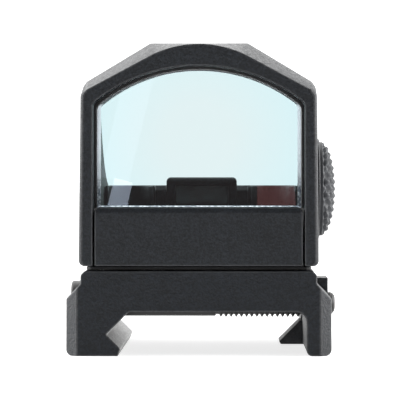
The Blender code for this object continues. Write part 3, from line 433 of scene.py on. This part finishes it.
def mesh_from(bm, name):
    mesh = bpy.data.meshes.new(name)
    bm.to_mesh(mesh)
    bm.free()
    return mesh


def apply_modifiers(piece):
    """Bake a piece's modifiers into its mesh."""
    graph = bpy.context.evaluated_depsgraph_get()
    mesh = bpy.data.meshes.new_from_object(piece.evaluated_get(graph))
    old = piece.data
    piece.modifiers.clear()
    piece.data = mesh
    bpy.data.meshes.remove(old)


def round_edges(piece, width, segments, edge_slot, stays_sharp):
    """Round the sharp edges, apart from those whose ends both lie where stays_sharp says."""
    bm = bmesh.new()
    bm.from_mesh(piece.data)
    weight = bm.edges.layers.float.new("bevel_weight_edge")
    for edge in bm.edges:
        hidden = all(stays_sharp(*(vert.co / MM)) for vert in edge.verts)
        edge[weight] = 0.0 if hidden or edge.calc_face_angle(0.0) < SHARP_ANGLE else 1.0
    bm.to_mesh(piece.data)
    bm.free()
    bevel = piece.modifiers.new("edge_round", "BEVEL")
    bevel.width = width
    bevel.segments = segments
    bevel.limit_method = "WEIGHT"
    bevel.use_clamp_overlap = False
    bevel.miter_outer = "MITER_ARC"
    bevel.harden_normals = True
    bevel.material = edge_slot
    piece.data.shade_smooth()
    piece.data.set_sharp_from_angle(angle=SHARP_ANGLE)


def lies_in_plane(mesh, polygon, normal, level):
    corners = [mesh.vertices[corner].co for corner in polygon.vertices]
    same_level = all(abs(normal.dot(corner) - level) < FLATNESS for corner in corners)
    return same_level and polygon.normal.dot(normal) > SAME_DIRECTION


def flat_areas(mesh):
    """Groups of neighbouring faces of the first material that share one plane."""
    owners = {}
    for polygon in mesh.polygons:
        if polygon.material_index == 0:
            for key in polygon.edge_keys:
                owners.setdefault(key, []).append(polygon.index)
    seen = set()
    for start in mesh.polygons:
        if start.material_index or start.index in seen:
            continue
        normal = start.normal.copy()
        level = normal.dot(mesh.vertices[start.vertices[0]].co)
        seen.add(start.index)
        area = []
        queue = [start.index]
        while queue:
            polygon = mesh.polygons[queue.pop()]
            area.append(polygon.index)
            neighbours = [index for key in polygon.edge_keys for index in owners[key]]
            for index in neighbours:
                if index not in seen and lies_in_plane(mesh, mesh.polygons[index], normal, level):
                    seen.add(index)
                    queue.append(index)
        yield area, normal


def count_sides(sides):
    """How often each pair of vertices comes up, whichever way round it is."""
    uses = {}
    for a, b in sides:
        key = (min(a, b), max(a, b))
        uses[key] = uses.get(key, 0) + 1
    return uses


def encloses(outline, point):
    """Whether a point lies inside an outline with holes, by the sides that a ray from it crosses."""
    crossings = 0
    for (ax, ay), (bx, by) in outline:
        if (ay > point.y) != (by > point.y) and point.x < ax + (point.y - ay) / (by - ay) * (bx - ax):
            crossings += 1
    return crossings % 2 == 1


def tiled(mesh, area, normal):
    """Triangles that fill a flat area and leave its holes open, or None where its rim crosses itself."""
    uses = count_sides([key for index in area for key in mesh.polygons[index].edge_keys])
    rim = [key for key, count in uses.items() if count == 1]
    corners = sorted({corner for key in rim for corner in key})
    across = normal.orthogonal().normalized()
    along = normal.cross(across)
    flat = [Vector((mesh.vertices[corner].co.dot(across), mesh.vertices[corner].co.dot(along))) / MM
            for corner in corners]
    place = {corner: position for position, corner in enumerate(corners)}
    sides = [(place[a], place[b]) for a, b in rim]
    outline = [(flat[a], flat[b]) for a, b in sides]
    points, _, triangles, sources, _, _ = delaunay_2d_cdt(flat, sides, [], 0, 1e-6)
    if len(points) != len(flat) or any(len(source) != 1 for source in sources):
        return None
    kept = []
    for triangle in triangles:
        centre = sum((points[corner] for corner in triangle), Vector((0.0, 0.0))) / 3
        if encloses(outline, centre):
            loop = [corners[sources[corner][0]] for corner in triangle]
            a, b, c = (mesh.vertices[corner].co for corner in loop)
            kept.append(loop if (b - a).cross(c - a).dot(normal) > 0 else loop[::-1])
    uses = count_sides([side for loop in kept for side in zip(loop, loop[1:] + loop[:1])])
    same_rim = set(rim) == {key for key, count in uses.items() if count == 1}
    return kept if same_rim and max(uses.values(), default=0) <= 2 else None


def retile_flats(piece):
    """Fill the many-sided flat areas left by the rounding with clean, flatly shaded triangles."""
    mesh = piece.data
    replaced = set()
    faces = []
    slots = []
    normals = []
    for area, normal in flat_areas(mesh):
        if max(len(mesh.polygons[index].vertices) for index in area) <= 4:
            continue
        tiles = tiled(mesh, area, normal)
        if not tiles:
            continue
        replaced.update(area)
        faces += tiles
        slots += [0] * len(tiles)
        normals += [tuple(normal)] * 3 * len(tiles)
    for polygon in mesh.polygons:
        if polygon.index not in replaced:
            faces.append(list(polygon.vertices))
            slots.append(polygon.material_index)
            normals += [tuple(mesh.corner_normals[loop].vector) for loop in polygon.loop_indices]
    fresh = bpy.data.meshes.new(mesh.name)
    fresh.from_pydata([vertex.co for vertex in mesh.vertices], [], faces)
    for material in mesh.materials:
        fresh.materials.append(material)
    fresh.polygons.foreach_set("material_index", slots)
    fresh.shade_smooth()
    fresh.normals_split_custom_set(normals)
    piece.data = fresh
    bpy.data.meshes.remove(mesh)


def cleaned_copy(node):
    """A CAD node's mesh with its seams merged and its flat faces made whole."""
    bm = bmesh.new()
    bm.from_mesh(nodes[node].data)
    bmesh.ops.remove_doubles(bm, verts=bm.verts, dist=MERGE_DISTANCE)
    bmesh.ops.dissolve_limit(bm, angle_limit=MERGE_ANGLE, verts=bm.verts, edges=bm.edges)
    bmesh.ops.dissolve_degenerate(bm, dist=SLIVER, edges=bm.edges)
    return bm


def nowhere(x, y, z):
    return False


def repaint(piece, material, chosen):
    """Give some faces of a casting one more material, by their centre and normal."""
    piece.data.materials.append(material)
    for polygon in piece.data.polygons:
        if chosen(polygon.center, polygon.normal):
            polygon.material_index = ADDED_SLOT


def refined(name, node, body, slot, materials, width=EDGE_ROUND, segments=3, stays_sharp=nowhere):
    """A CAD node rebuilt with softly rounded edges."""
    mesh = mesh_from(cleaned_copy(node), name)
    piece = link_piece(name, mesh, materials, body, slot, node)
    round_edges(piece, width, segments, len(materials) - 1, stays_sharp)
    apply_modifiers(piece)
    retile_flats(piece)
    low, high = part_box(node)
    for vertex in piece.data.vertices:
        vertex.co = [min(top, max(base, value)) for base, value, top in zip(low, vertex.co, high)]
    return piece


def ring_round_x(centre, segments, place):
    """A closed row of points round an X axis; place gives (position, radius) for an angle."""
    ring = []
    for index in range(segments):
        angle = 2 * pi * index / segments
        position, reach = place(angle)
        ring.append((position, centre[0] + reach * cos(angle), centre[1] + reach * sin(angle)))
    return ring


def skin(bm, rings):
    """Close a surface over rings of equal counts, and cap both ends."""
    rows = [[bm.verts.new(point) for point in ring] for ring in rings]
    count = len(rows[0])
    for near, far in zip(rows, rows[1:]):
        for index in range(count):
            following = (index + 1) % count
            bm.faces.new((near[index], near[following], far[following], far[index]))
    bm.faces.new(rows[0])
    bm.faces.new(list(reversed(rows[-1])))
    bmesh.ops.recalc_face_normals(bm, faces=bm.faces)


def hexagon_reach(flat, angle):
    """Distance from the axis to a hexagon's side, for a distance flat to the middle of the side."""
    return flat / cos((angle + pi / 6) % (pi / 3) - pi / 6)


def thread_reach(phase, crest, depth):
    """Radius of a thread at a share of its pitch, with a flat crest and a round root."""
    down = (abs(phase % 1.0 - 0.5) - THREAD_CREST_SHARE) / THREAD_FLANK_SHARE
    return crest - depth * (1 - cos(pi * min(1.0, max(0.0, down)))) / 2


def threaded_bolt(name, stations, thread, tip, centre, socket):
    """One closed surface: a socket, a turned head and shank, then a helical thread up to a turned tip.

    stations and tip hold (position, radius) pairs, thread is (start, end, crest, depth, pitch),
    and socket is (mouth, depth, flat distance) of a hexagon key's hole.
    """
    start, end, crest, depth, pitch = thread
    mouth, sink, flat = socket
    rows = []

    def add_row(place):
        rows.append(ring_round_x(centre, BOLT_SEGMENTS, place))

    add_row(lambda angle: (mouth + sink + 0.4 * flat, 0.08 * flat))
    add_row(lambda angle: (mouth + sink, hexagon_reach(0.94 * flat, angle)))
    add_row(lambda angle: (mouth + sink - 0.06 * flat, hexagon_reach(flat, angle)))
    add_row(lambda angle: (mouth + 0.1 * flat, hexagon_reach(flat, angle)))
    add_row(lambda angle: (mouth, hexagon_reach(flat, angle) + 0.1 * flat))
    for position, reach in stations:
        add_row(lambda angle, place=(position, reach): place)
    turns = (end - start) / pitch
    for step in range(int(turns * THREAD_SAMPLES) + THREAD_SAMPLES + 1):
        def helix(angle, phase=step / THREAD_SAMPLES):
            position = start + pitch * (phase - angle / (2 * pi))
            inside = min(end, max(start, position))
            share = min(1.0, (inside - start) / (0.6 * pitch), (end - inside) / (0.25 * pitch))
            root = crest - depth
            reach = root + (thread_reach(phase, crest, depth) - root) * share
            return inside + (position - inside) * SQUEEZED, reach

        add_row(helix)
    for position, reach in tip:
        add_row(lambda angle, place=(position, reach): place)
    bm = bmesh.new()
    skin(bm, rows)
    mesh = mesh_from(bm, name)
    mesh.shade_smooth()
    mesh.set_sharp_from_angle(angle=THREAD_SHARP_ANGLE)
    return mesh


# ---------------------------------------------------------------- clamp bolt
def make_clamp_bolt():
    """A socket head bolt: head outside the left jaw, thread across the channel, tip past the right jaw."""
    low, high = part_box("clamp_screw")
    centre = ((low.y + high.y) / 2, (low.z + high.z) / 2)
    head = (high.z - low.z) / 2
    seat_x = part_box("rail_mount")[0].x + BOLT_SEAT_INSET
    shank = BOLT_CREST - SHANK_SLIMMING
    stations = [
        (low.x, head - BOLT_HEAD_ROUND), (low.x + 0.04 * MM, head - 0.55 * BOLT_HEAD_ROUND),
        (low.x + 0.14 * MM, head - 0.2 * BOLT_HEAD_ROUND), (low.x + 0.32 * MM, head),
        (seat_x - 0.12 * MM, head), (seat_x, head - 0.12 * MM), (seat_x + 0.01 * MM, shank + 0.2 * MM),
        (seat_x + 0.16 * MM, shank), (THREAD_START_X - 0.25 * MM, shank),
        (THREAD_START_X - 0.05 * MM, BOLT_CREST - THREAD_DEPTH),
    ]
    thread = (THREAD_START_X, high.x - BOLT_TIP_ROUND, BOLT_CREST, THREAD_DEPTH, THREAD_PITCH)
    tip = [
        (high.x - 0.55 * BOLT_TIP_ROUND, BOLT_CREST - 0.45 * MM),
        (high.x - 0.12 * BOLT_TIP_ROUND, BOLT_CREST - 0.75 * MM),
        (high.x, BOLT_CREST - 1.1 * MM),
    ]
    socket = (low.x, BOLT_SOCKET, BOLT_SOCKET)
    mesh = threaded_bolt("clamp_bolt", stations, thread, tip, centre, socket)
    return link_piece("clamp_bolt", mesh, [BLACK_STEEL], "clamp_screw", "steel_black", "clamp_screw")


# ---------------------------------------------------------------- brightness button
def lattice_relief(p, q, from_rim):
    """Depth of the diamond net of ridges, with knobs where they cross, faded out at the smooth rim."""
    first = abs(sin(pi * (p / LATTICE_ACROSS + q / LATTICE_UP)))
    second = abs(sin(pi * (p / LATTICE_ACROSS - q / LATTICE_UP)))
    fade = min(1.0, max(0.0, (from_rim - LATTICE_START) / LATTICE_FADE))
    dimple = DIMPLE_SHARE * (first * second) ** 1.1
    return LATTICE_DEPTH * fade * (dimple + RIDGE_SHARE * max(first, second) ** 2)


def make_button():
    """A rubber dome whose diamond dimples are laid out along its curved surface."""
    low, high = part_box("brightness_button")
    centre = ((low.y + high.y) / 2, (low.z + high.z) / 2)
    radius = (high.y - low.y) / 2
    base_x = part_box("hood")[1].x - BUTTON_SINK
    edge_x = base_x + BUTTON_WALL
    rise = high.x - edge_x
    wall = [
        (base_x, radius - 0.25 * MM), (base_x + 0.02 * MM, radius - 0.1 * MM),
        (base_x + 0.12 * MM, radius), (edge_x - 0.2 * MM, radius),
    ]
    rows = [ring_round_x(centre, BUTTON_SEGMENTS, lambda angle, place=place: place) for place in wall]
    turns = [ring / BUTTON_RINGS * pi / 2 for ring in range(BUTTON_RINGS)]
    spans = [0.0]
    for near, far in zip(turns, turns[1:] + [pi / 2]):
        inward = radius * (cos(near) - cos(far))
        outward = rise * (sin(far) - sin(near))
        spans.append(spans[-1] + sqrt(inward ** 2 + outward ** 2))
    for turn, span in zip(turns, spans):
        slope = Vector((cos(turn) * radius, sin(turn) * rise))
        out = Vector((sin(turn) * radius, cos(turn) * rise)).normalized()

        def dimpled(angle, slope=slope, out=out, span=span, along=spans[-1] - span):
            sink = lattice_relief(along * cos(angle), along * sin(angle), span)
            return edge_x + slope.y - sink * out.x, slope.x - sink * out.y

        rows.append(ring_round_x(centre, BUTTON_SEGMENTS, dimpled))
    bm = bmesh.new()
    skin(bm, rows)
    mesh = mesh_from(bm, "button_cap")
    mesh.shade_smooth()
    return link_piece("button_cap", mesh, [RUBBER], "button", "rubber", "brightness_button")


# ---------------------------------------------------------------- lens
def arched_outline(half, base_z, top_z, radius, corner):
    """The lens's outline: a level foot, upright sides and an arched top with rounded shoulders."""
    centre_z = top_z - radius
    shoulder = (half - corner, centre_z + sqrt((radius - corner) ** 2 - (half - corner) ** 2))
    turn = atan2(shoulder[1] - centre_z, shoulder[0])
    right = [(half, base_z + (shoulder[1] - base_z) * step / SIDE_STEPS) for step in range(SIDE_STEPS)]
    for step in range(SIDE_STEPS + 1):
        angle = turn * step / SIDE_STEPS
        right.append((shoulder[0] + corner * cos(angle), shoulder[1] + corner * sin(angle)))
    arch = []
    for step in range(1, ARCH_STEPS):
        angle = turn + (pi - 2 * turn) * step / ARCH_STEPS
        arch.append((radius * cos(angle), centre_z + radius * sin(angle)))
    left = [(-x, z) for x, z in reversed(right)]
    foot = [(half * (step / SIDE_STEPS - 1), base_z) for step in range(1, 2 * SIDE_STEPS)]
    return right + arch + left + foot


def make_lens():
    """A bowed meniscus that leans back, with a fine bevel on its arch and wider ones on its sides."""
    low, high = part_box("objective_lens")
    half = (high.x - low.x) / 2
    outline = arched_outline(half, low.z, high.z, LENS_RADIUS, LENS_CORNER)
    inner = arched_outline(half - LENS_SIDE_BEVEL, low.z + LENS_FOOT_BEVEL, high.z - LENS_ARCH_BEVEL,
                           LENS_RADIUS - LENS_ARCH_BEVEL, LENS_CORNER - LENS_ARCH_BEVEL)
    middle = (low.z + high.z) / 2
    reach = max(sqrt(x * x + (z - middle) ** 2) for x, z in inner)

    def lean(y, z):
        return y + LENS_LEAN * (z - low.z) / (high.z - low.z)

    def bowed(x, z, edge_y):
        fall = (x ** 2 + (z - middle) ** 2) / reach ** 2
        return x, lean(edge_y, z) - LENS_BULGE * (1 - fall), z

    def face(edge_y):
        shares = [1 - shell / LENS_SHELLS for shell in range(LENS_SHELLS)]
        return [[bowed(x * share, middle + (z - middle) * share, edge_y) for x, z in inner]
                for share in shares]

    front_y = low.y + LENS_BULGE
    back_y = high.y - LENS_LEAN
    front = list(reversed(face(front_y)))
    rim = [[(x, lean(y, z), z) for x, z in outline]
           for y in (front_y + LENS_BEVEL_DEPTH, back_y - LENS_BEVEL_DEPTH)]
    bm = bmesh.new()
    skin(bm, front + rim + face(back_y))
    bm.faces.ensure_lookup_table()
    first_bevel = (LENS_SHELLS - 1) * len(outline)
    for index in range(first_bevel, first_bevel + 3 * len(outline)):
        bm.faces[index].material_index = 1
    mesh = mesh_from(bm, "lens_glass")
    mesh.shade_smooth()
    mesh.set_sharp_from_angle(angle=LENS_SHARP_ANGLE)
    return link_piece("lens_glass", mesh, [GLASS, GROUND], "sight", "glass", "objective_lens")


# ---------------------------------------------------------------- springs
def make_spring(name, node, body, axis, turns, spare=0.0):
    """A coil in a spring's place, shorter by the travel that its free end has to leave."""
    low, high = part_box(node)
    centre = (low + high) / 2
    across = (high.z - low.z) if axis == "X" else (high.x - low.x)
    radius = across / 2 - SPRING_INSET
    start, stop = (low.x, high.x) if axis == "X" else (low.z, high.z)
    middle = (centre.y, centre.z) if axis == "X" else (centre.x, centre.y)
    count = turns * SPRING_STEPS
    rings = []
    for step in range(count + 1):
        angle = 2 * pi * step / SPRING_STEPS
        share = step / count
        eased = share - SPRING_END_SQUEEZE * sin(2 * pi * share)
        height = start + SPRING_INSET + (stop - start - spare - 2 * SPRING_INSET) * eased
        ring = []
        for corner in range(SPRING_CORNERS):
            tilt = 2 * pi * corner / SPRING_CORNERS
            reach = radius + SPRING_WIRE * cos(tilt)
            rise = height + SPRING_WIRE * sin(tilt)
            a = middle[0] + reach * cos(angle)
            b = middle[1] + reach * sin(angle)
            ring.append((rise, a, b) if axis == "X" else (a, b, rise))
        rings.append(ring)
    bm = bmesh.new()
    skin(bm, rings)
    mesh = mesh_from(bm, name)
    mesh.shade_smooth()
    return link_piece(name, mesh, [STEEL], body, "steel", node)


# ---------------------------------------------------------------- assembly
def make_hood():
    hood = refined("hood_shell", "hood", "sight", "anodised", [BODY, BODY_EDGE])
    inner_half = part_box("objective_lens")[1].x + 0.6 * MM
    lens_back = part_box("lens_seal")[1].y - 0.05 * MM

    def inner_side(centre, normal):
        return abs(centre.x) < inner_half and centre.y > lens_back and abs(normal.x) > 0.9

    # Painted light: the inner side walls behind the lens get the lighter copy of the anodising
    repaint(hood, HOOD_INSIDE_PAINTED_LIGHT, inner_side)


def make_housing():
    sill_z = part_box("objective_lens")[0].z - 0.08 * MM
    sill_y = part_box("main_housing")[0].y + 0.8 * MM

    def close_fit(x, y, z):
        well = z < WELL_TOP_MM and abs(x) < WELL_HALF_MM
        mouth = abs(x) < MOUTH_HALF_MM and MOUTH_START_MM < y < MOUTH_END_MM
        return well or mouth

    def sill_rounding(centre, normal):
        return centre.z > sill_z and centre.y < sill_y and -0.99 < normal.y < -0.05

    housing = refined("housing_block", "main_housing", "sight", "anodised", [BODY, BODY_EDGE],
                      CASTING_ROUND, stays_sharp=close_fit)
    # Painted highlight: the forward-sloping rounding above the sill gets the lighter copy of the anodising
    repaint(housing, SILL_PAINTED_HIGHLIGHT, sill_rounding)


def make_mount():
    low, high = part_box("clamp_screw")
    bolt_y = (low.y + high.y) / 2 / MM
    bolt_z = (low.z + high.z) / 2 / MM

    def bolt_bore(x, y, z):
        return abs(x) < BORE_END_MM and (y - bolt_y) ** 2 + (z - bolt_z) ** 2 < BORE_REACH_MM ** 2

    def groove_face(centre, normal):
        return centre.z < 0 and centre.x < 0 and normal.x > 0.6

    mount = refined("mount_base", "rail_mount", "sight", "anodised", [MOUNT, MOUNT_EDGE],
                    CASTING_ROUND, stays_sharp=bolt_bore)
    # Painted highlight: the left lip's slanted face gets the much lighter copy of the anodising
    repaint(mount, LIP_PAINTED_HIGHLIGHT, groove_face)
    refined("jaw_plate", "clamp_jaw", "clamp_jaw", "anodised", [JAW, MOUNT_EDGE], COVER_ROUND)


def make_castings():
    make_hood()
    make_housing()
    refined("emitter_cover", "emitter_housing", "sight", "anodised", [BODY, BODY_EDGE], COVER_ROUND)
    make_mount()
    refined("bezel_ring", "button_ring", "sight", "anodised", [BODY, BODY_EDGE], BEZEL_ROUND)
    refined("lens_gasket", "lens_seal", "sight", "seal", [SEAL], GASKET_ROUND, 2)
    refined("base_seal", "base_gasket", "sight", "seal", [SEAL], SEAL_ROUND, 2)


def make_small_metal():
    def small(name, node, body, slot, material):
        refined(name, node, body, slot, [material], FINE_ROUND, 2)

    for side in ("left", "right"):
        for end in ("front", "rear"):
            where = f"{side}_{end}"
            small(f"hood_bolt_{where}", f"hood_screw_{where}", "sight", "steel_black", BLACK_STEEL)
            small(f"dowel_{where}", f"locating_pin_{where}", "sight", "steel", STEEL)
        small(f"sight_bolt_{side}", f"sight_screw_{side}", "sight", "steel_black", BLACK_STEEL)
    small("windage_adjuster", "windage_screw", "windage_screw", "steel_black", BLACK_STEEL)
    small("elevation_adjuster", "elevation_screw", "elevation_screw", "steel_black", BLACK_STEEL)
    small("windage_sled", "windage_carriage", "windage_carriage", "contact", BRASS)
    small("elevation_lift", "elevation_carriage", "elevation_carriage", "contact", BRASS)
    small("cell", "coin_battery", "sight", "steel", STEEL)
    make_spring("windage_coil", "windage_spring", "windage_carriage", "X", 2)
    make_spring("elevation_coil", "elevation_spring", "windage_carriage", "Z", 3, ELEVATION_SPARE)


def dress_nodes():
    """Give every CAD node, shown or hidden, its procedural finish."""
    finishes = {
        "anodised": BODY, "steel_black": BLACK_STEEL, "steel": STEEL, "glass": WINDOW, "rubber": RUBBER,
        "seal": SEAL, "board": BOARD, "chip": PACKAGE, "contact": BRASS, "led": LED,
    }
    for part in frame["record"]["subparts"]:
        mesh = nodes[part["node"]].data
        mesh.materials.clear()
        mesh.materials.append(finishes[part["material_slot"]])


# ---------------------------------------------------------------- stage, light and camera
def make_stage():
    """A white floor that also glows, so that it stays as pale as the photo's ground."""
    material, tree, shader, place = start_material("stage_white")
    tone = noise(tree, place, 4.0, detail=2.0)
    color = shade(tree, tone, (0.44, 0.44, 0.44), (0.47, 0.47, 0.47))
    finish_surface(tree, shader, color, spread(tree, tone, 0.75, 0.85), specular=0.2)
    shader.inputs["Emission Color"].default_value = (1.0, 1.0, 1.0, 1.0)
    shader.inputs["Emission Strength"].default_value = 0.78
    floor_z = cad_bounds[0][2]
    bm = bmesh.new()
    corners = [(x * STAGE_HALF, y * STAGE_HALF, floor_z) for x, y in ((-1, -1), (1, -1), (1, 1), (-1, 1))]
    bm.faces.new([bm.verts.new(corner) for corner in corners])
    floor = bpy.data.objects.new("floor", mesh_from(bm, "floor"))
    bpy.context.scene.collection.objects.link(floor)
    floor.data.materials.append(material)


def make_lights():
    """Softboxes at the sides and above, and weak panels in front for the lens to reflect."""
    target = Vector((0.0, 0.0, 0.013))

    def panel(name, spot, size, power, color=(1.0, 1.0, 1.0)):
        light = bpy.data.lights.new(name, "AREA")
        light.shape = "RECTANGLE"
        light.size, light.size_y = size
        light.energy = power
        light.color = color
        lamp = bpy.data.objects.new(name, light)
        lamp.location = spot
        lamp.rotation_euler = (target - Vector(spot)).to_track_quat("-Z", "Y").to_euler()
        bpy.context.scene.collection.objects.link(lamp)
        return lamp

    panel("left_softbox", (-0.34, 0.02, 0.08), (0.45, 0.40), 3.2)
    panel("right_softbox", (0.34, 0.02, 0.08), (0.45, 0.40), 3.2)
    panel("top_softbox", (-0.10, 0.24, 0.30), (0.60, 0.40), 1.5)
    strips = [
        panel("front_strip_low", (-0.0416, -0.40, 0.0255), (0.0085, 0.0216), 0.0024, (0.66, 0.84, 1.0)),
        panel("front_strip_high", (-0.0358, -0.40, 0.0680), (0.013, 0.0657), 0.0019, (0.75, 0.86, 1.0)),
    ]
    for strip in strips:
        strip.rotation_euler.rotate_axis("Z", radians(-13))
    panel("front_glow", (0.029, -0.40, 0.029), (0.0165, 0.0095), 0.00040, (1.0, 0.36, 0.34))


def make_world():
    """White surroundings, brightest behind the object and dimmer on the objective side."""
    world = bpy.data.worlds.new("studio")
    bpy.context.scene.world = world
    world.use_nodes = True
    tree = world.node_tree
    backdrop = tree.nodes["Background"]
    backdrop.inputs["Color"].default_value = (1.0, 1.0, 1.0, 1.0)
    place = tree.nodes.new("ShaderNodeTexCoord")
    split = tree.nodes.new("ShaderNodeSeparateXYZ")
    tree.links.new(place.outputs["Generated"], split.inputs["Vector"])
    tree.links.new(spread(tree, split.outputs["Y"], 0.26, 1.5, -0.5, 0.6), backdrop.inputs["Strength"])
    bpy.context.scene.view_settings.view_transform = "Standard"


def make_camera():
    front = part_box("hood")[0].y
    data = bpy.data.cameras.new("camera")
    data.sensor_width = SENSOR_MM
    data.lens = FOCAL_LENGTH_MM
    data.clip_start = 0.01
    data.clip_end = 20.0
    camera = bpy.data.objects.new("camera", data)
    camera.location = (CAMERA_X, front - CAMERA_DISTANCE, CAMERA_Z)
    aim = Vector((AIM_X, front, AIM_Z)) - camera.location
    camera.rotation_euler = aim.to_track_quat("-Z", "Y").to_euler()
    bpy.context.scene.collection.objects.link(camera)
    bpy.context.scene.camera = camera


make_castings()
make_small_metal()
make_clamp_bolt()
make_button()
make_lens()
dress_nodes()
make_stage()
make_lights()
make_world()
make_camera()
